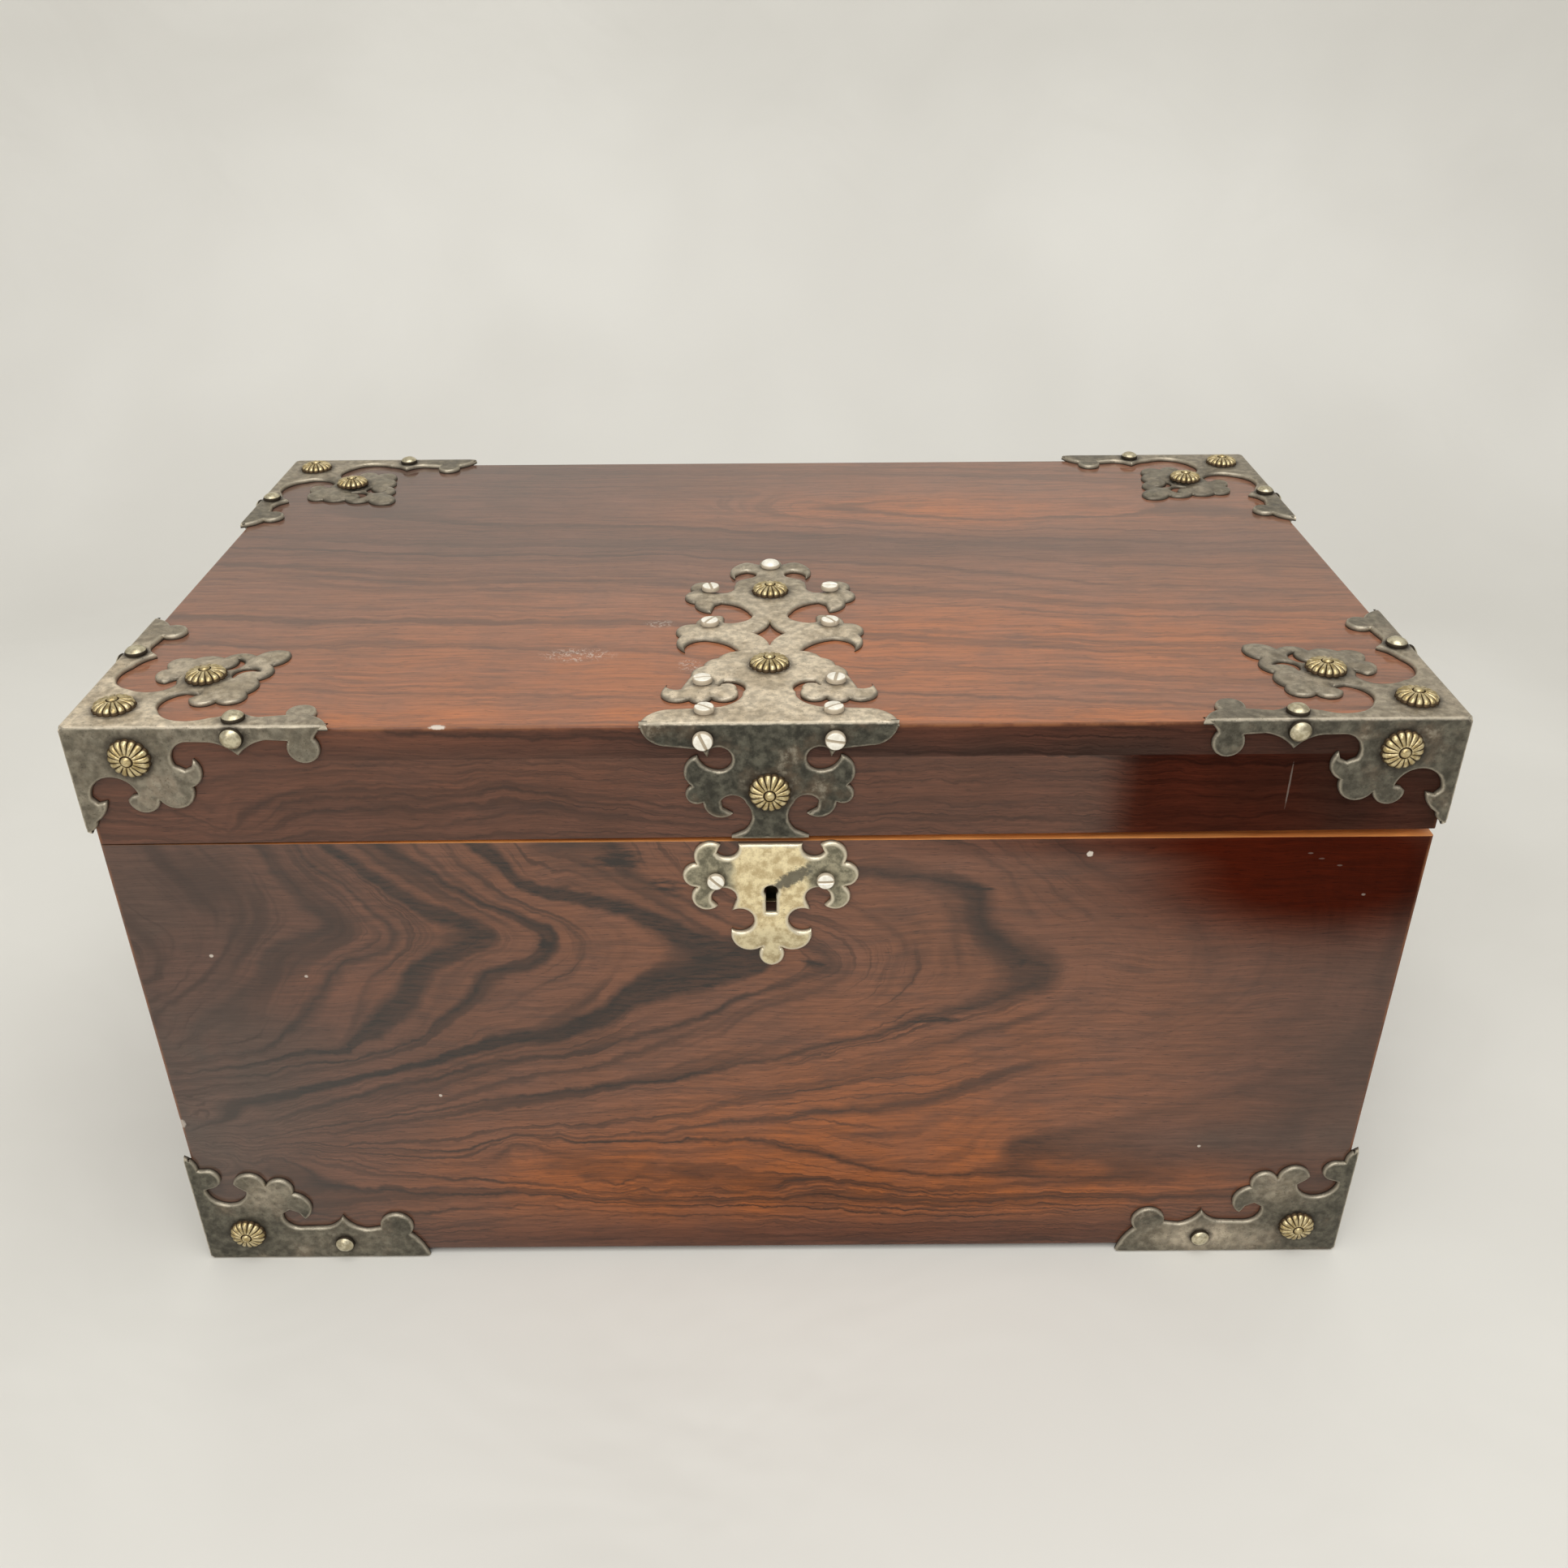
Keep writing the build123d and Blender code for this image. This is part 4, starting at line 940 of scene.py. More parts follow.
def board(node, body, materials, front=None, top=None, grid=None, rim_face=None):
    """Veneered board: rounded outer corners, fine arrises at the seam, bare wood on the seam face."""
    bm = clean_copy(node)
    bevel(bm, [e for e in bm.edges if on_planes(e) >= 2], corner_round, 4)
    if rim_face:
        low, high, way = rim_face
        seam = [e for e in bm.edges if on_planes(e) == 1
                and all(low * MM <= v.co.z <= high * MM for v in e.verts)
                and abs(e.verts[0].co.z - e.verts[1].co.z) < 2.5 * MM
                and e.calc_length() > 5 * MM]
        bevel(bm, seam, arris_round, 2)
    if grid:
        axis, value, cuts = grid
        flat = [f for f in bm.faces if abs(f.calc_center_median()[axis] - value * MM) < 1e-5]
        for one in cuts:
            flat = cut_grid(bm, flat, *one)
    bm.normal_update()
    if rim_face:
        for f in bm.faces:
            if f.normal.z * way > 0.9 and low * MM <= f.calc_center_median().z <= high * MM:
                f.material_index = 1
    mesh = finished(bm, node + "_veneer")
    paint_veneer(mesh, front, top)
    return piece(node + "_veneer", mesh, body, [node], materials)


def refined(node, body, material, width, segments=2):
    """CAD part with its sharp edges eased."""
    bm = clean_copy(node)
    bm.normal_update()
    edges = [e for e in bm.edges if len(e.link_faces) == 2
             and e.calc_face_angle(0.0) > math.radians(35)]
    bevel(bm, edges, width, segments)
    return piece(node + "_part", finished(bm, node + "_part", 30), body, [node], material)


# Materials


def figure(s, phase, steep, run, rise):
    """The grain phase with its drift, and makers of places along the figure and along the board."""
    wide = s.noise(s.place, 0.035, 2)
    close = s.noise(s.place, 0.16, 3, 0.6)
    drift = s.plus(s.scaled(wide, 6.5, -3.25), s.scaled(close, 3.6, -1.8))
    moved = s.scaled(drift, steep, phase)
    drift_x, drift_y, drift_z = s.split(s.resized(s.place, 0.022))

    def along(scale, offset=0.0):
        """Coordinates that run fast across the figure and slowly along it."""
        fast = s.scaled(moved, scale, offset)
        return s.join(s.plus(fast, drift_x), drift_y, drift_z)

    def grain(along_scale, across_scale, offset=0.0):
        """Coordinates stretched along the board, whose fibres run straight through the figure."""
        level = s.scaled(wide, 5.0, rise)
        return s.join(s.times(run, along_scale), s.times(level, across_scale), offset)

    return moved, along, grain


def ink_marks(s, moved, grain, ink, stain):
    """Dark lines where the moved phase has certain values, and ragged dark patches."""
    high = s.ramp(s.times(moved, 0.1), [
        (0.083, 0.1), (0.099, 0.7), (0.118, 0.1), (0.18, 0.1), (0.197, 0.85), (0.218, 0.12),
        (0.276, 0.12), (0.294, 1.0), (0.32, 0.9), (0.333, 0.12), (0.378, 0.1), (0.397, 1.0),
        (0.419, 0.12), (0.48, 0.05), (0.57, 0.06), (0.589, 1.0), (0.624, 1.0), (0.643, 0.1), (0.688, 0.1),
        (0.702, 0.8), (0.72, 0.08), (0.88, 0.05), (0.899, 0.9), (0.918, 0.04),
    ])
    low = s.ramp(s.scaled(moved, 0.1, -1.0), [
        (0.04, 0.0), (0.06, 0.3), (0.08, 0.04), (0.285, 0.04), (0.3, 0.95), (0.315, 0.06), (0.385, 0.04),
        (0.4, 0.55), (0.415, 0.05), (0.5, 0.05), (0.515, 0.7), (0.53, 0.05), (0.625, 0.05), (0.64, 0.9),
        (0.655, 0.06), (0.73, 0.05), (0.742, 0.65), (0.756, 0.05),
    ])
    feather = s.remap(s.noise(grain(0.16, 1.1, 2.0), 1.0, 4, 0.7), 0.32, 0.6, 1.0, 0.72)
    marks = s.times(s.times(s.most(high, low), ink), feather)
    ragged = s.scaled(s.noise(grain(0.1, 0.55, 4.0), 1.0, 4, 0.7), 1.1, stain)
    return s.most(marks, s.remap(ragged, 0.88, 1.22, 0.0, 0.92), clamp=True)


def rosewood():
    """Polished rosewood: dark streaks along the lines of equal phase, fibres, pores and a lacquer coat."""
    s = Shader("rosewood")
    phase, steep, ink, warm, tone, stain, gloss_and_sheen, calm, run, rise = map(s.read, VENEER_VALUES)
    lively = s.minus(1.0, calm)
    moved, along, grain = figure(s, phase, steep, run, rise)
    bands = s.noise(along(1.7), 1.0, 2, 0.55)
    lines = s.noise(along(7.0, 31.0), 1.0, 3, 0.6)
    fibre = s.noise(grain(0.1, 2.6, 5.0), 1.0, 3, 0.65)
    thread = s.noise(grain(0.035, 0.75, 9.0), 1.0, 3, 0.6)
    patch = s.noise(s.place, 0.045, 3, 0.55)
    level = s.remap(s.z, wood_high - 0.5, wood_high - 0.2)

    base = s.ramp(warm, [(0.0, (0.08, 0.056, 0.043)), (0.35, (0.13, 0.057, 0.034)),
                         (0.65, (0.215, 0.082, 0.04)), (1.0, (0.33, 0.098, 0.026))])
    base = s.mix(s.remap(patch, 0.38, 0.68, 0.0, 0.4), base, (0.175, 0.078, 0.05))
    streak = s.times(s.remap(bands, 0.3, 0.54, 0.76, 0.0), s.remap(level, 0.0, 1.0, 1.0, 0.72))
    base = s.mix(s.times(streak, lively), base, (0.036, 0.0185, 0.0125))
    sparse = s.remap(s.noise(s.place, 0.028, 2, 0.5), 0.42, 0.62, 0.2, 1.0)
    thin = s.times(s.remap(lines, 0.33, 0.5, 0.7, 0.0), sparse)
    thin = s.times(s.times(thin, lively), s.remap(level, 0.0, 1.0, 1.0, 0.45))
    base = s.mix(thin, base, (0.032, 0.015, 0.01))
    base = s.mix(s.remap(thread, 0.32, 0.62, 0.34, 0.0), base, (0.046, 0.023, 0.016))
    cloud = s.noise(grain(0.055, 0.24, 7.0), 1.0, 4, 0.68)
    base = s.mix(s.remap(cloud, 0.48, 0.68, 0.0, 0.36), base, (0.06, 0.033, 0.025))
    hair = s.times(s.linear(fibre, 0.28, 0.72, 0.72, 1.2), s.remap(level, 0.0, 1.0, 1.0, 1.22))
    base = s.shade(base, hair)
    base = s.mix(ink_marks(s, moved, grain, ink, stain), base, (0.011, 0.0095, 0.0085))
    dots = s.noise(grain(0.3, 3.4, 1.0), 1.0, 2, 0.5)
    base = s.mix(s.remap(dots, 0.3, 0.38, 0.6, 0.0), base, (0.024, 0.011, 0.008))
    # Darkens by tone: mostly a painted dark reflection, darkest at the upper right of the front
    base = s.mix(tone, base, s.mix(1.0, base, (0.36, 0.095, 0.03), "MULTIPLY"))
    # Painted pale sheen: the colour turned paler and greyer where the coat would reflect the pale
    # surroundings, more on the top
    painted_sheen = s.times(gloss_and_sheen, s.remap(level, 0.0, 1.0, 0.02, 0.03))
    base = s.mix(painted_sheen, base, (0.76, 0.7, 0.6))
    # Warm lighter colour along the outer edges: wear and a painted highlight
    base = s.mix(arris(s), base, (0.21, 0.085, 0.038))
    base = s.mix(flecks(s), base, (0.56, 0.5, 0.43))
    s.set(Base_Color=base, Roughness=s.linear(fibre, 0.2, 0.8, 0.3, 0.42),
          Coat_Weight=s.times(gloss_and_sheen, 0.75), Coat_Roughness=0.08, IOR=1.2, Specular_IOR_Level=0.15)
    wave = s.noise(s.place, 0.05, 2)
    s.set(Normal=s.bump(fibre, 0.025, 0.35, s.bump(wave, 0.5, 0.12)))
    return s.material


# Chips, specks and scuffs of the front and top: middle, half extents, cover
FLECKS = [
    ((73.7, -90, 128.6), (0.8, 1, 0.8), 0.95), ((-132.6, -90, 101.4), (0.5, 1, 0.5), 0.8),
    ((-111.1, -90, 95.1), (0.45, 1, 0.45), 0.7), ((-83.6, -90, 56.9), (0.45, 1, 0.45), 0.8),
    ((111.2, -90, 37.6), (0.45, 1, 0.45), 0.8), ((-151.4, -90, 48.0), (1.4, 1.4, 1.7), 0.55),
    ((-71.3, -90, 162.4), (1.9, 1.3, 0.5), 0.9), ((116.2, -90, 146.6), (0.22, 1, 6.0), 0.16),
    ((124.2, -90, 128.4), (0.6, 1, 0.25), 0.14), ((138.5, -90, 116.8), (0.5, 1, 0.35), 0.25),
    ((127.0, -90, 126.9), (0.8, 1, 0.2), 0.1), ((131.5, -90, 125.0), (0.7, 1, 0.25), 0.12),
]
SCUFFS = [
    ((-45, -54, 162.5), (9, 4, 1), 0.45), ((-27, -36, 162.5), (4, 2.5, 1), 0.35),
    ((-18, -60, 162.5), (3, 4, 1), 0.35),
]


def spot(s, middle, half):
    """Distance from a spot's middle, one at its rim."""
    away = s.vector("DIVIDE", s.vector("SUBTRACT", s.place, middle), half)
    return s.add("ShaderNodeVectorMath", [(0, away)], operation="LENGTH").outputs["Value"]


def flecks(s):
    """Pale chips and patches of fine scratches."""
    rough = s.noise(s.place, 1.6, 3, 0.7)
    scratch = s.remap(s.noise(s.place, 0.75, 3, 0.7, 1.4), 0.53, 0.57)
    cover = 0.0
    for middle, half, most in FLECKS:
        near = s.scaled(rough, 0.9, spot(s, middle, half))
        cover = s.most(cover, s.remap(near, 1.15, 1.55, most, 0.0))
    for middle, half, most in SCUFFS:
        patch = s.times(s.remap(spot(s, middle, half), 0.5, 1.2, most, 0.0), scratch)
        cover = s.most(cover, patch)
    return cover


def arris(s):
    """Uneven lighter colour where two outer faces meet: edge wear and a painted highlight."""
    sides = ((s.x, wood_x), (s.y, wood_y))
    away = [s.minus(face, s.math("ABSOLUTE", axis)) for axis, face in sides]
    away.append(s.minus(wood_high, s.z))
    near = [s.remap(one, 0.25, 1.1, 1.0, 0.0) for one in away]
    pairs = [s.least(near[i], near[j]) for i, j in ((0, 1), (0, 2), (1, 2))]
    worn = s.most(s.most(pairs[0], pairs[1]), pairs[2])
    patchy = s.remap(s.noise(s.place, 0.11, 4, 0.6), 0.4, 0.6, 0.25, 0.95)
    return s.times(worn, patchy)


def plain_wood(name, dark, light, rough, axis=0, coat=0.0, darker_to_left=False):
    """Straight-grained solid wood whose grain runs along one axis, darker towards the left if asked."""
    s = Shader(name)
    stretch = [1.0, 1.0, 1.0]
    stretch[axis] = 0.045
    grain_at = s.vector("MULTIPLY", s.place, tuple(stretch))
    bend = s.noise(s.place, 0.02, 2)
    grain_at = s.vector("ADD", grain_at, s.join(bend, s.times(bend, 5.0), s.times(bend, 5.0)))
    rings = s.noise(grain_at, 0.32, 3, 0.55)
    hair = s.noise(grain_at, 3.2, 3, 0.65)
    base = s.mix(s.remap(rings, 0.35, 0.65), dark, light)
    tint = s.linear(hair, 0.3, 0.7, 0.78, 1.15)
    base = s.shade(base, tint)
    soil = s.noise(s.place, 0.06, 4, 0.6)
    base = s.mix(s.remap(soil, 0.5, 0.75, 0.0, 0.35), base, tuple(0.55 * c for c in dark))
    if darker_to_left:
        # Darker towards the left, with a ragged boundary
        left = s.scaled(s.noise(s.place, 0.12, 4, 0.7), 60.0, s.x)
        base = s.mix(s.remap(left, -112.0, -66.0, 0.88, 0.0), base, (0.07, 0.03, 0.014))
    s.set(Base_Color=base, Roughness=s.linear(hair, 0.2, 0.8, rough - 0.07, rough + 0.1),
          Coat_Weight=coat, Coat_Roughness=0.25)
    s.set(Normal=s.bump(hair, 0.05, 0.5))
    return s.material


def mount_metal():
    """Old dark bronze: olive-grey patina, sandy where it lies level, pale rims of wear and painted
    highlight, a painted highlight along the bend, painted shade at its walls and lobe edges.
    """
    s = Shader("mount_metal")
    edge, bend, dirt_and_shade, sand = map(s.read, ("edge", "bend", "dirt_and_shade", "sand"))
    broad = s.noise(s.place, 0.09, 4, 0.6)
    mottle = s.noise(s.place, 0.45, 5, 0.65)
    grit = s.noise(s.place, 2.4, 3, 0.6)
    olive = s.mix(s.remap(mottle, 0.36, 0.66), (0.046, 0.044, 0.034), (0.112, 0.106, 0.08))
    olive = s.mix(s.remap(broad, 0.5, 0.68, 0.0, 0.7), olive, (0.125, 0.09, 0.06))
    smudge = s.scaled(broad, 0.6, s.times(mottle, 0.4))
    level = s.mix(s.remap(smudge, 0.4, 0.58), (0.5, 0.415, 0.3), (0.72, 0.62, 0.475))
    base = s.mix(sand, olive, level)
    blotch = s.remap(s.noise(s.place, 0.5, 2, 0.5), 0.34, 0.66, 0.8, 1.18)
    base = s.shade(base, blotch)
    # Pale rims along free edges: wear and a painted highlight
    spread = s.scaled(mottle, 1.5, edge)
    worn = s.remap(spread, 0.85, 1.55, 0.66, 0.0)
    base = s.mix(worn, base, (0.47, 0.42, 0.325))
    # Painted highlight along the bend between the flanges
    painted_bend_highlight = s.remap(s.scaled(mottle, 0.9, bend), 0.55, 1.25, 0.9, 0.0)
    base = s.mix(painted_bend_highlight, base, (0.64, 0.57, 0.45))
    spots = s.remap(s.plus(broad, s.times(mottle, 0.5)), 0.86, 0.98, 0.0, 0.5)
    base = s.mix(spots, base, (0.4, 0.365, 0.285))
    # Painted shadow line round the walls and painted shade at lobe edges, with dark rings round the heads
    base = s.mix(s.times(dirt_and_shade, 0.85, clamp=True), base, (0.02, 0.014, 0.01))
    pits = s.remap(grit, 0.28, 0.42, 0.55, 0.0)
    base = s.mix(pits, base, (0.03, 0.026, 0.02))
    rough = s.linear(mottle, 0.3, 0.7, 0.34, 0.58)
    s.set(Base_Color=base, Metallic=0.75, Roughness=rough)
    fine = s.bump(grit, 0.06, 0.45)
    s.set(Normal=s.bump(mottle, 0.3, 0.5, fine))
    return s.material


def key_stain(s):
    """Slanted mottled patch of tarnish at the right of the keyhole."""
    spot_x = s.plus(s.x, -(fitting_x + 5.0))
    spot_z = s.plus(s.z, -123.6)
    climb = s.scaled(spot_x, -0.55, spot_z)
    patchy = s.noise(s.place, 0.95, 4, 0.7)
    far = s.math("SQRT", s.plus(s.times(spot_x, spot_x), s.times(s.times(climb, climb), 4.5)))
    return s.remap(s.scaled(patchy, -9.0, far), -1.6, 1.2, 0.9, 0.0)


def escutcheon_brass():
    """Worn pale brass in the middle, grey-green lobes inside light rims."""
    s = Shader("escutcheon_brass")
    edge, dirt_and_shade = map(s.read, ("edge", "dirt_and_shade"))
    mottle = s.noise(s.place, 0.5, 5, 0.65)
    broad = s.noise(s.place, 0.13, 3, 0.6)
    grit = s.noise(s.place, 2.6, 3, 0.6)
    gold = s.mix(s.remap(mottle, 0.35, 0.65), (0.55, 0.43, 0.235), (0.88, 0.76, 0.48))
    lobe = s.mix(s.remap(mottle, 0.35, 0.65), (0.15, 0.138, 0.095), (0.38, 0.345, 0.24))
    across = s.math("ABSOLUTE", s.plus(s.x, -fitting_x))
    down = s.minus(escutcheon_top, s.z)
    lean = s.scaled(broad, 6.0, across)
    out = s.remap(lean, 10.2, 12.8)
    low = s.remap(s.scaled(mottle, 4.0, down), 22.5, 28.5, 0.0, 0.35)
    base = s.mix(s.most(out, low), gold, lobe)
    worn = s.remap(s.scaled(mottle, 1.1, edge), 0.9, 1.6, 0.95, 0.0)
    base = s.mix(worn, base, (0.7, 0.63, 0.48))
    base = s.mix(key_stain(s), base, (0.125, 0.118, 0.092))
    # Painted shadow line round the walls, with dark rings round the screws
    base = s.mix(s.times(dirt_and_shade, 0.8, clamp=True), base, (0.035, 0.025, 0.015))
    pits = s.remap(grit, 0.26, 0.4, 0.5, 0.0)
    base = s.mix(pits, base, (0.08, 0.06, 0.035))
    s.set(Base_Color=base, Metallic=0.75, Roughness=s.linear(mottle, 0.3, 0.7, 0.32, 0.52))
    s.set(Normal=s.bump(mottle, 0.25, 0.5, s.bump(grit, 0.05, 0.4)))
    return s.material


def nail_metal(name, crest, hollow, dark, metallic, rough):
    """Metal of a nail or screw head, dark in its grooves."""
    s = Shader(name)
    groove = s.read("groove")
    mottle = s.noise(s.place, 0.8, 4, 0.6)
    grit = s.noise(s.place, 4.0, 2, 0.5)
    base = s.mix(s.remap(mottle, 0.38, 0.64), hollow, crest)
    depth = s.scaled(grit, 0.25, groove)
    base = s.mix(s.remap(depth, 0.36, 0.78), base, dark)
    s.set(Base_Color=base, Metallic=metallic, Roughness=s.remap(depth, 0.2, 0.8, rough, rough + 0.3))
    s.set(Normal=s.bump(grit, 0.04, 0.4))
    return s.material


def plain_metal(name, dark, light, rough, metallic=0.9):
    """Worked metal with brush lines, stains and a little pitting."""
    s = Shader(name)
    brush = s.noise(s.vector("MULTIPLY", s.place, (0.15, 2.5, 2.5)), 1.0, 3, 0.6)
    mottle = s.noise(s.place, 0.3, 4, 0.6)
    base = s.mix(s.remap(mottle, 0.38, 0.66), dark, light)
    tint = s.linear(brush, 0.3, 0.7, 0.85, 1.12)
    base = s.shade(base, tint)
    uneven = s.remap(mottle, 0.3, 0.7, rough - 0.06, rough + 0.14)
    s.set(Base_Color=base, Metallic=metallic, Roughness=uneven, Normal=s.bump(brush, 0.03, 0.4))
    return s.material


def velvet():
    """Wine red velvet with brushed patches in its pile."""
    s = Shader("velvet")
    brushed = s.noise(s.place, 0.035, 3, 0.55, 0.4)
    pile = s.noise(s.place, 3.6, 3, 0.7)
    base = s.mix(s.remap(brushed, 0.36, 0.64), (0.09, 0.0058, 0.014), (0.145, 0.0096, 0.022))
    tint = s.linear(pile, 0.3, 0.7, 0.7, 1.25)
    base = s.shade(base, tint)
    worn = s.remap(s.noise(s.place, 0.09, 4, 0.6), 0.58, 0.72, 0.0, 0.35)
    base = s.mix(worn, base, (0.2, 0.045, 0.05))
    s.set(Base_Color=base, Roughness=0.92, Sheen_Weight=0.55, Sheen_Roughness=0.35)
    s.out.inputs["Sheen Tint"].default_value = (0.85, 0.35, 0.4, 1.0)
    s.set(Normal=s.bump(pile, 0.22, 0.7, s.bump(brushed, 0.8, 0.25)))
    return s.material


def floor_paper():
    """Plain pale sheet under and behind the box."""
    s = Shader("floor_paper")
    broad = s.noise(s.place, 0.0035, 3, 0.5)
    base = s.mix(s.remap(broad, 0.35, 0.65), (0.61, 0.598, 0.56), (0.67, 0.66, 0.622))
    s.set(Base_Color=base, Roughness=0.55)
    folds = s.noise(s.place, 0.011, 3, 0.5, 0.6)
    s.set(Normal=s.bump(folds, 6.0, 0.35))
    return s.material


# Soft pieces


def ripple(x, y, seed):
    """Gentle uneven height for stuffed surfaces, between about -1 and 1."""
    waves = ((0.021, 0.034, 0.3), (0.047, -0.029, 1.9), (-0.033, 0.061, 4.2), (0.083, 0.051, 2.6))
    return sum(np.sin(a * x * 1.3 + b * y * 1.7 + c + seed) for a, b, c in waves) / 4


def pad_stops(size, edge, step):
    """Places across a pad, closer together where its edge is round."""
    near = [edge * n for n in (0.0, 0.12, 0.3, 0.6)]
    rest = np.linspace(edge, size - edge, max(2, int((size - 2 * edge) / step)))
    return np.array(near + list(rest) + [size - n for n in near[::-1]])


def pad_faces(rows, columns):
    """Faces of a pad's grid, of its flat back and of the wall between them."""
    count = rows * columns
    index = np.arange(count).reshape(rows, columns)
    quads = np.stack([index[:-1, :-1], index[1:, :-1], index[1:, 1:], index[:-1, 1:]], axis=2)
    quads = quads.reshape(-1, 4)
    ring = [*index[:, 0], *index[-1, 1:], *index[-2::-1, -1], *index[0, -2:0:-1]]
    walls = [[j, i, i + count, j + count] for i, j in zip(ring, ring[1:] + ring[:1])]
    return [*quads, *(quads[:, ::-1] + count), *walls]


def pad_shape(builder, low, high, axis, way, swell, edge, step, seed=0.0):
    """Rounded pad in a box: its face looks along one axis and swells towards its middle."""
    low, high = np.asarray(low, float), np.asarray(high, float)
    flat_axes = [i for i in range(3) if i != axis]
    size_u, size_v = (high - low)[flat_axes]
    grid_u, grid_v = np.meshgrid(pad_stops(size_u, edge, step), pad_stops(size_v, edge, step),
                                 indexing="ij")
    in_u = np.minimum(grid_u, size_u - grid_u)
    in_v = np.minimum(grid_v, size_v - grid_v)
    near = np.minimum(in_u, in_v)
    roll = np.sqrt(np.clip(1 - (1 - np.clip(near / edge, 0, 1)) ** 2, 0, 1))
    crown = (1 - swell) + swell * np.clip(4 * in_u * (size_u - in_u) / size_u ** 2, 0, 1) ** 0.4 \
        * np.clip(4 * in_v * (size_v - in_v) / size_v ** 2, 0, 1) ** 0.4
    wave = 0.06 * ripple(grid_u, grid_v, seed)
    height = (high - low)[axis] * np.clip(roll * (crown + wave * crown), 0.0, 1.0)
    top = np.zeros((*grid_u.shape, 3))
    top[..., flat_axes] = low[flat_axes] + np.stack([grid_u, grid_v], axis=2)
    top[..., axis] = low[axis] + height if way > 0 else high[axis] - height
    base = top.copy()
    base[..., axis] = low[axis] if way > 0 else high[axis]
    points = np.concatenate([top.reshape(-1, 3), base.reshape(-1, 3)])
    handed = (*flat_axes, axis) in ((0, 1, 2), (1, 2, 0), (2, 0, 1))
    builder.add(points, pad_faces(*grid_u.shape), {}, flip=handed != (way > 0))


def soft_piece(name, builder, body, node, material):
    """Padded piece that stands for a soft CAD node."""
    mesh = builder.mesh(name, None)
    bm = bmesh.new()
    bm.from_mesh(mesh)
    bmesh.ops.remove_doubles(bm, verts=bm.verts, dist=1e-7)
    bmesh.ops.dissolve_degenerate(bm, dist=1e-8, edges=bm.edges)
    bmesh.ops.recalc_face_normals(bm, faces=bm.faces)
    bm.to_mesh(mesh)
    bm.free()
    set_smooth(mesh, 50)
    obj = piece(name, mesh, body, [node], material)
    return obj


def ring_roll(builder, x0, x1, middle, low, radius, seed):
    """Half-round velvet roll with soft ends and a little unevenness."""
    count = 22
    whole = x1 - x0
    soft_end = 3.0
    ends = [0.0, 0.5, 1.4, soft_end]
    lengths = ends + list(np.linspace(6.0, whole - 6.0, 28)) + [whole - n for n in ends[::-1]]
    points = []
    for along in lengths:
        near = min(along, whole - along)
        share = 0.8 + 0.2 * math.sqrt(1 - (1 - min(near / soft_end, 1.0)) ** 2)
        uneven = 1 - 0.022 * (1 + math.sin(0.31 * along + seed) * math.sin(0.13 * along + 2 * seed))
        for i in range(count + 1):
            t = math.pi * i / count
            r = radius * share * uneven
            points.append((x0 + along, middle + r * math.cos(t), low + r * math.sin(t)))
    row = count + 1
    faces = []
    for n in range(len(lengths) - 1):
        for i in range(count):
            a = n * row + i
            faces.append([a, a + 1, a + row + 1, a + row])
        faces.append([n * row + count, n * row, (n + 1) * row, (n + 1) * row + count])
    faces.append(list(range(row))[::-1])
    last = (len(lengths) - 1) * row
    faces.append([last + i for i in range(row)])
    builder.add(points, faces, {})


# The case and the lid

rosewood_look = rosewood()
bare_wood = plain_wood("bare_wood", (0.42, 0.15, 0.04), (0.72, 0.33, 0.1), 0.45, darker_to_left=True)
bare_side_wood = plain_wood("bare_side_wood", (0.42, 0.15, 0.04), (0.72, 0.33, 0.1), 0.45, axis=1)
lip_wood = plain_wood("lip_wood", (0.43, 0.215, 0.085), (0.64, 0.37, 0.165), 0.48)
base_wood = plain_wood("base_wood", (0.2, 0.095, 0.042), (0.33, 0.175, 0.08), 0.6)
board_looks = [rosewood_look, bare_wood]
side_looks = [rosewood_look, bare_side_wood]

case_rim = (rim - 0.4, rim + 0.2, 1)
lid_seam = (rim - 0.1, seam_high, -1)
case_grid = (1, -wood_y, [(0, -wood_x + 2, wood_x - 1, 2.0), (2, wood_low + 2, rim - 1, 2.0)])
lid_grid = (1, -wood_y, [(0, -wood_x + 3, wood_x - 1, 3.0), (2, seam_high + 1, 154.0, 1.6)])
top_grid = (2, wood_high, [(0, -wood_x + 3, wood_x - 1, 3.0), (1, -wood_y + 3, wood_y - 1, 3.0)])

for part, front, grid, rim_face in (("case", front_look, case_grid, case_rim),
                                    ("lid", lid_front_look, lid_grid, lid_seam)):
    board(part + "_front", part, board_looks, front, None, grid, rim_face)
    board(part + "_back", part, board_looks, rim_face=rim_face)
    for end in ("_left", "_right"):
        board(part + end, part, side_looks, rim_face=rim_face)
board("lid_top", "lid", board_looks, lid_front_look, lid_top_look, top_grid)
refined("case_bottom", "case", base_wood, 0.3)
refined("case_lip", "case", lip_wood, 0.5)
refined("tray_runners", "case", lip_wood, 0.6)

# Mounts, strap and escutcheon

# How sandy the level flange of each lid mount is: along the box edges, on its leaf
LID_SAND = {"front_left": (1.0, 0.7), "front_right": (0.5, 0.4), "back_left": (0.48, 0.33),
            "back_right": (0.38, 0.29)}


def on_leaf(at):
    """Share of a level flange that is its leaf."""
    return smoothstep(9, 17, np.minimum(at[:, 0], at[:, 1]))


def leaf_sand(strong, weak):
    def tone(at):
        share = strong * (1 - 0.5 * smoothstep(28, 50, np.maximum(at[:, 0], at[:, 1])))
        return share * (1 - on_leaf(at)) + weak * on_leaf(at)
    return tone


def strap_sand(at):
    return 1.0 - 0.45 * smoothstep(34, 92, at[:, 1])


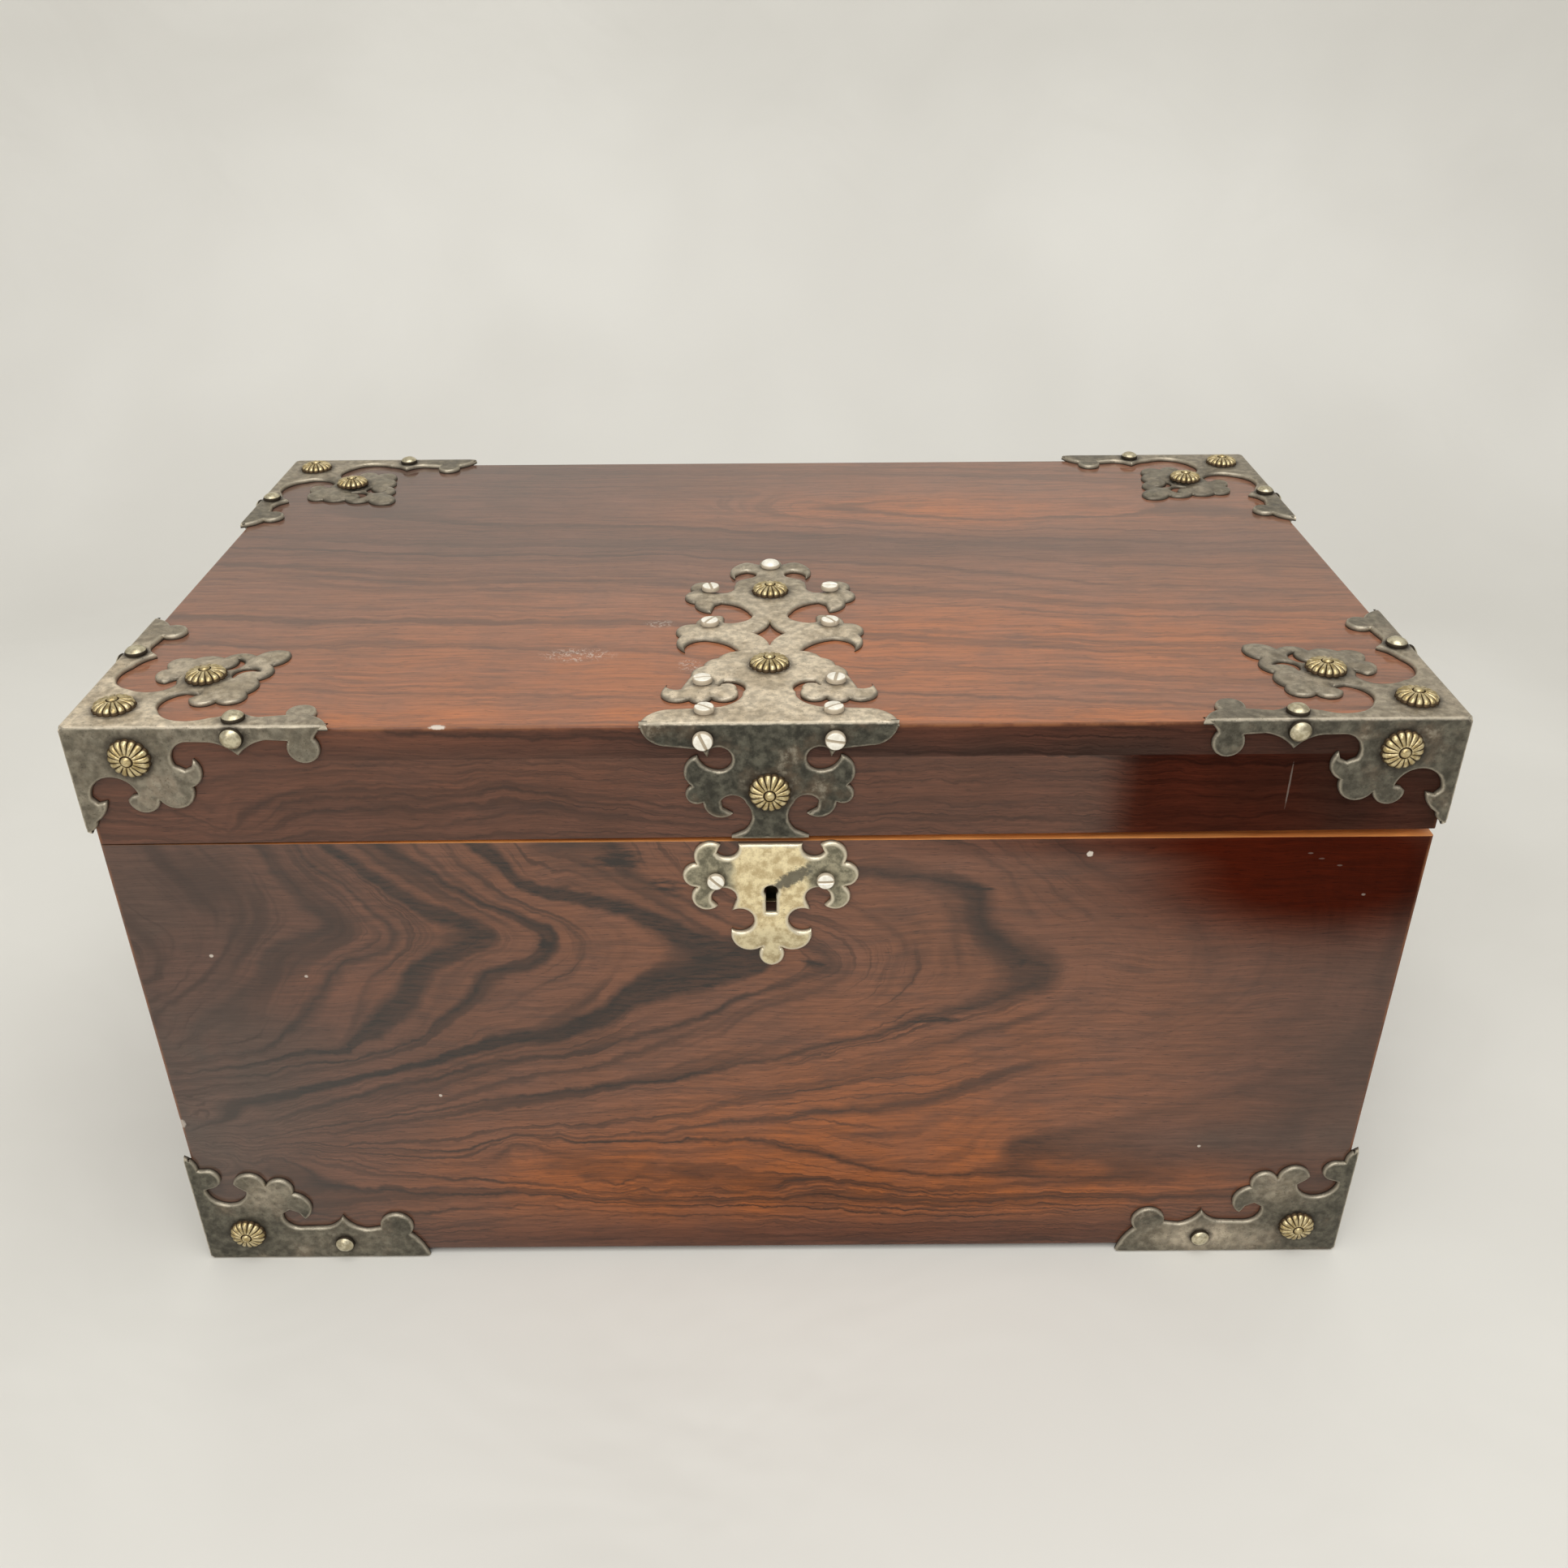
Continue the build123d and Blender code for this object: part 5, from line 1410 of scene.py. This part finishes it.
def base_sand(on_flange, on_lobes):
    """Paler dust in the middle of a base flange and on its leaf."""
    def tone(at):
        return 0.05 + on_flange * blob(at, 37, 6, 16, 5.5) + on_lobes * blob(at, 19, 24, 9, 6.5)
    return tone


mount_look = mount_metal()
petal_size, dome_size, slot_size, small_slot_size = 4.8, 2.6, 2.3, 2.1
top_heads = [(p, petal_size) for p in lid_top_rosettes] + [(p, dome_size) for p in lid_top_nails]
lid_side_heads = [(lid_side_rosette, petal_size), (lid_side_nail, dome_size)]
base_side_heads = [(base_rosette, petal_size), (base_nail, dome_size)]
lid_side_made = plate([LID_SIDE], bend_x=True)
lid_top_made = plate([LID_TOP, LID_TOP_SLOT, mirrored(LID_TOP_SLOT, swap=True)], bend_x=True,
                     swell=lambda at: 0.5 * on_leaf(at))
base_side_made = plate([BASE_SIDE], bend_x=True)
base_under_made = plate([BASE_UNDER], bend_x=True)

for corner_name, sx, sy in corners():
    lid_sand = 0.22 if corner_name == "front_left" else 0.06
    for kind, body, level, rise, sides, side_heads, sand, flat, flat_heads, flat_sand in (
            ("lid", "lid", metal_high, -1, lid_side_made, lid_side_heads, lid_sand,
             lid_top_made, top_heads, leaf_sand(*LID_SAND[corner_name])),
            ("base", "case", 0.0, 1, base_side_made, base_side_heads, base_sand(0.4 + 0.22 * sx, 0.34),
             base_under_made, [], 0.08)):
        at = (sx * metal_x, sy * metal_y, level)
        along_x, along_y, up = (-sx, 0, 0), (0, -sy, 0), (0, 0, rise)
        mount = Builder()
        add_plate(mount, sides, side_heads, sand, at, along_x, up, along_y)
        add_plate(mount, sides, side_heads, sand, at, along_y, up, along_x)
        add_plate(mount, flat, flat_heads, flat_sand, at, along_x, along_y, up)
        node = kind + "_mount_" + corner_name
        piece(node + "_plate", mount.mesh(node, 40), body, [node], mount_look)

strap_at = (fitting_x, -metal_y, metal_high)
right, back, down = (1, 0, 0), (0, 1, 0), (0, 0, -1)


def in_pairs(places, size):
    """Heads of a size at both sides of the middle."""
    return [((s * x, away), size) for x, away in places for s in (-1, 1)]


front_heads = [((0, strap_front_rosette), petal_size)] + in_pairs([strap_front_screw], slot_size)
strap_heads = [((0, away), petal_size) for away in strap_top_rosettes] + [((0, strap_top_nail), dome_size)]
strap_heads += in_pairs(strap_top_screws, slot_size)
strap_top_made = plate([STRAP_TOP, DIAMOND], swell=lambda at: 0.4 * smoothstep(6, 13, np.abs(at[:, 0])))
strap = Builder()
add_plate(strap, plate([STRAP_FRONT]), front_heads, 0.0, strap_at, right, down, back)
add_plate(strap, strap_top_made, strap_heads, strap_sand, strap_at, right, back, down)
piece("strap_plate", strap.mesh("strap", 40), "lid", ["strap"], mount_look)

key_plate = Builder()
key_at = (fitting_x, -metal_y, escutcheon_top)
add_plate(key_plate, plate([ESCUTCHEON, KEYHOLE], bend_y=False),
          in_pairs([escutcheon_screw], small_slot_size), 0.0, key_at, right, down, back)
piece("escutcheon_plate", key_plate.mesh("escutcheon", 40), "case", ["escutcheon"],
      escutcheon_brass())

# Heads

petal_brass = nail_metal("petal_brass", (0.64, 0.535, 0.31), (0.37, 0.28, 0.125), (0.075, 0.048, 0.024),
                         0.8, 0.3)
nail_brass = nail_metal("nail_brass", (0.62, 0.56, 0.4), (0.38, 0.33, 0.215), (0.045, 0.034, 0.022),
                        0.8, 0.33)
screw_white = nail_metal("screw_white", (0.92, 0.89, 0.8), (0.78, 0.74, 0.64), (0.48, 0.41, 0.31),
                         0.35, 0.38)
petal_head = rosette()
round_head = dome_nail()
slot_head = screw(2.25, 1.25)
small_head = screw(2.05, 1.05)


def heads_piece(node, body, material, fill):
    """One piece with all heads of a kind."""
    made = Builder()
    fill(made)
    piece(node + "_heads", made.mesh(node, 38), body, [node], material)


def fitted_head(made, head, face, across, away, turn):
    """A head on the strap's top or front or on the escutcheon, at a distance from that face's edge."""
    high = escutcheon_top if face == "key" else metal_high
    if face == "top":
        add_head(made, head, (fitting_x + across, -metal_y + away, high), (0, 0, 1), turn)
    else:
        add_head(made, head, (fitting_x + across, -metal_y, high - away), (0, -1, 0), turn)


def strap_flowers(made):
    fitted_head(made, petal_head, "front", 0, strap_front_rosette, 0.1)
    for n, away in enumerate(strap_top_rosettes):
        fitted_head(made, petal_head, "top", 0, away, 0.2 + n)


def strap_slots(made):
    for s in (-1, 1):
        across, away = strap_front_screw
        fitted_head(made, slot_head, "front", s * across, away, 0.9 + 0.5 * s)
    for n, (across, away) in enumerate(strap_top_screws):
        for s in (-1, 1):
            fitted_head(made, slot_head, "top", s * across, away, 0.8 * n + 0.6 * s)


def key_slots(made):
    for s in (-1, 1):
        across, away = escutcheon_screw
        fitted_head(made, small_head, "key", s * across, away, 1.2 + 0.4 * s)


petal_kind, round_kind = (petal_brass, petal_head), (nail_brass, round_head)
for node, body, (look, head), place, level, rise, on_top in (
        ("lid_rosettes", "lid", petal_kind, lid_side_rosette, metal_high, -1, lid_top_rosettes),
        ("lid_nails", "lid", round_kind, lid_side_nail, metal_high, -1, lid_top_nails),
        ("base_rosettes", "case", petal_kind, base_rosette, 0, 1, []),
        ("base_nails", "case", round_kind, base_nail, 0, 1, [])):
    heads_piece(node, body, look,
                lambda made: corner_heads(made, head, place, level, rise, on_top))
heads_piece("strap_rosettes", "lid", petal_brass, strap_flowers)
heads_piece("strap_screws", "lid", screw_white, strap_slots)
heads_piece("escutcheon_screws", "case", screw_white, key_slots)
finial = Builder()
fitted_head(finial, round_head, "top", 0, strap_top_nail, 0.3)
piece("strap_finial_nail", finial.mesh("finial", 38), "lid", [], screw_white)

# Hinges and lock

hinge_look = plain_metal("hinge_brass", (0.3, 0.205, 0.085), (0.52, 0.39, 0.18), 0.38)
lock_look = plain_metal("lock_metal", (0.26, 0.2, 0.11), (0.45, 0.36, 0.21), 0.42)
for end in ("left", "right"):
    refined("hinge_case_leaf_" + end, "case", hinge_look, 0.15)
    refined("hinge_lid_leaf_" + end, "lid", hinge_look, 0.15)
refined("hinge_pins", "case", hinge_look, 0.15)
for node, body, eased in (("lock_case", "case", 0.1), ("lock_cap", "case", 0.1),
                          ("lock_drill_pin", "case", 0.1), ("lock_bolt", "bolt", 0.12),
                          ("link_plate", "lid", 0.12)):
    refined(node, body, lock_look, eased, 1)

# Tray

tray_x_wood = plain_wood("tray_wood", (0.1, 0.036, 0.018), (0.215, 0.085, 0.04), 0.42)
tray_y_wood = plain_wood("tray_wood_ends", (0.1, 0.036, 0.018), (0.215, 0.085, 0.04), 0.42, axis=1)
for node in ("tray_front", "tray_back", "tray_floor", "tray_divider_long"):
    refined(node, "tray", tray_x_wood, 0.6)
for node in ("tray_left", "tray_right", "tray_dividers_cross"):
    refined(node, "tray", tray_y_wood, 0.6)

# Velvet linings

velvet_look = velvet()


def velvet_boxes(name, node, body, boxes, swell, edge, step):
    """Padded pieces in boxes, given as low corner, high corner, facing axis and way."""
    made = Builder()
    for n, (low, high, axis, way) in enumerate(boxes):
        pad_shape(made, low, high, axis, way, swell, edge, step, 1.7 * n)
    return soft_piece(name, made, body, node, velvet_look)


lining_x, lining_y, card = 138.0, 76.5, 1.2
pad_low, pad_high = 9.5, 11.0
floor_x, floor_y = 137.7, 76.2
wall_low, wall_high = 11.3, 84.7
velvet_boxes("lid_velvet", "lid_pad", "lid", [((-140.5, -79, 150.5), (140.5, 79, 154.5), 2, -1)],
             0.35, 5.0, 5.0)
velvet_boxes("floor_velvet", "case_floor_pad", "case",
             [((-floor_x, -floor_y, pad_low), (floor_x, floor_y, pad_high), 2, 1)], 0.2, 2.2, 6.0)
velvet_boxes("wall_velvet", "case_wall_lining", "case", [
    ((-lining_x + card, -lining_y, wall_low), (lining_x - card, -lining_y + card, wall_high), 1, 1),
    ((-lining_x + card, lining_y - card, wall_low), (lining_x - card, lining_y, wall_high), 1, -1),
    ((lining_x - card, -lining_y, wall_low), (lining_x, lining_y, wall_high), 0, -1),
    ((-lining_x, -lining_y, wall_low), (-lining_x + card, lining_y, wall_high), 0, 1),
], 0.15, 1.8, 6.0)

columns = [(-132.0, -46.0), (-42.0, 42.0), (46.0, 132.0)]
rows = [(-70.5, -2.0), (2.0, 70.5)]
tray_floor_top = 96.0
soft_gap = 0.3
tray_boxes = [((x0 + soft_gap, y0 + soft_gap, tray_floor_top),
               (x1 - soft_gap, y1 - soft_gap, tray_floor_top + 1.5), 2, 1)
              for y0, y1 in rows for x0, x1 in columns]
velvet_boxes("tray_velvet", "tray_pads", "tray", tray_boxes[:-1], 0.2, 2.0, 4.0)

rolls = Builder()
roll_count = 4
pitch = (rows[1][1] - rows[1][0]) / roll_count
for n in range(roll_count):
    ring_roll(rolls, columns[2][0] + soft_gap, columns[2][1] - soft_gap, rows[1][0] + pitch * (n + 0.5),
              tray_floor_top, pitch / 2 - soft_gap, 0.9 * n)
soft_piece("ring_velvet", rolls, "tray", "ring_rolls", velvet_look)

# Floor, camera and light


def backdrop():
    """Pale sheet that runs back along the floor and curves up behind the box."""
    radius = 260.0
    bend_at = 330.0
    profile = [(-1600.0, 0.0), (-600.0, 0.0), (-200.0, 0.0), (bend_at, 0.0)]
    for i in range(1, 17):
        t = math.pi / 2 * i / 16
        profile.append((bend_at + radius * math.sin(t), radius * (1 - math.cos(t))))
    profile.append((bend_at + radius, 1500.0))
    half = 2200.0
    points = []
    for y, z in profile:
        points += [(-half, y, z - 0.05), (half, y, z - 0.05)]
    faces = [[2 * i, 2 * i + 1, 2 * i + 3, 2 * i + 2] for i in range(len(profile) - 1)]
    mesh = mesh_of("floor", points, faces, None, 80)
    mesh.materials.append(floor_paper())
    obj = new_object("floor", mesh)
    obj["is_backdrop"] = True


def camera():
    """Camera of the photograph, fitted to the box's corners, in metres and radians."""
    down, yaw, roll = 0.5309, 0.0012, 0.0064
    look = Matrix.Rotation(-yaw, 4, "Z") @ Matrix.Rotation(math.pi / 2 - down, 4, "X")
    data = bpy.data.cameras.new("camera")
    data.sensor_width = 36.0
    data.lens = 33.475
    data.clip_start = 0.01
    data.clip_end = 20.0
    obj = new_object("camera", data)
    place = Matrix.Translation((0.00353, -0.36895, 0.31149))
    obj.matrix_world = place @ look @ Matrix.Rotation(-roll, 4, "Z")
    bpy.context.scene.camera = obj


def soft_light(name, at, aim, size, power, colour):
    """Square area light that points at a place, in metres."""
    data = bpy.data.lights.new(name, "AREA")
    data.shape = "SQUARE"
    data.size = size
    data.energy = power
    data.color = colour
    obj = new_object(name, data)
    obj.location = at
    obj.rotation_euler = (Vector(aim) - Vector(at)).to_track_quat("-Z", "Y").to_euler()


def world_light(colour, strength):
    world = bpy.data.worlds.new("studio")
    world.use_nodes = True
    sky = world.node_tree.nodes["Background"]
    sky.inputs["Color"].default_value = (*colour, 1.0)
    sky.inputs["Strength"].default_value = strength
    bpy.context.scene.world = world


camera()
backdrop()
world_light((1.0, 0.99, 0.965), 0.56)
soft_light("key", (0.1, -0.55, 1.35), (0, 0, 0.05), 1.2, 13.0, (1.0, 0.99, 0.965))
soft_light("fill", (-0.5, -1.4, 0.9), (0, 0, 0.08), 1.2, 9.0, (1.0, 0.975, 0.93))
bpy.context.scene.view_settings.view_transform = "Standard"

boxes = (("cad", cad_box), ("visual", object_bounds()))
sizes = {name: [[float(v) for v in corner] for corner in box] for name, box in boxes}
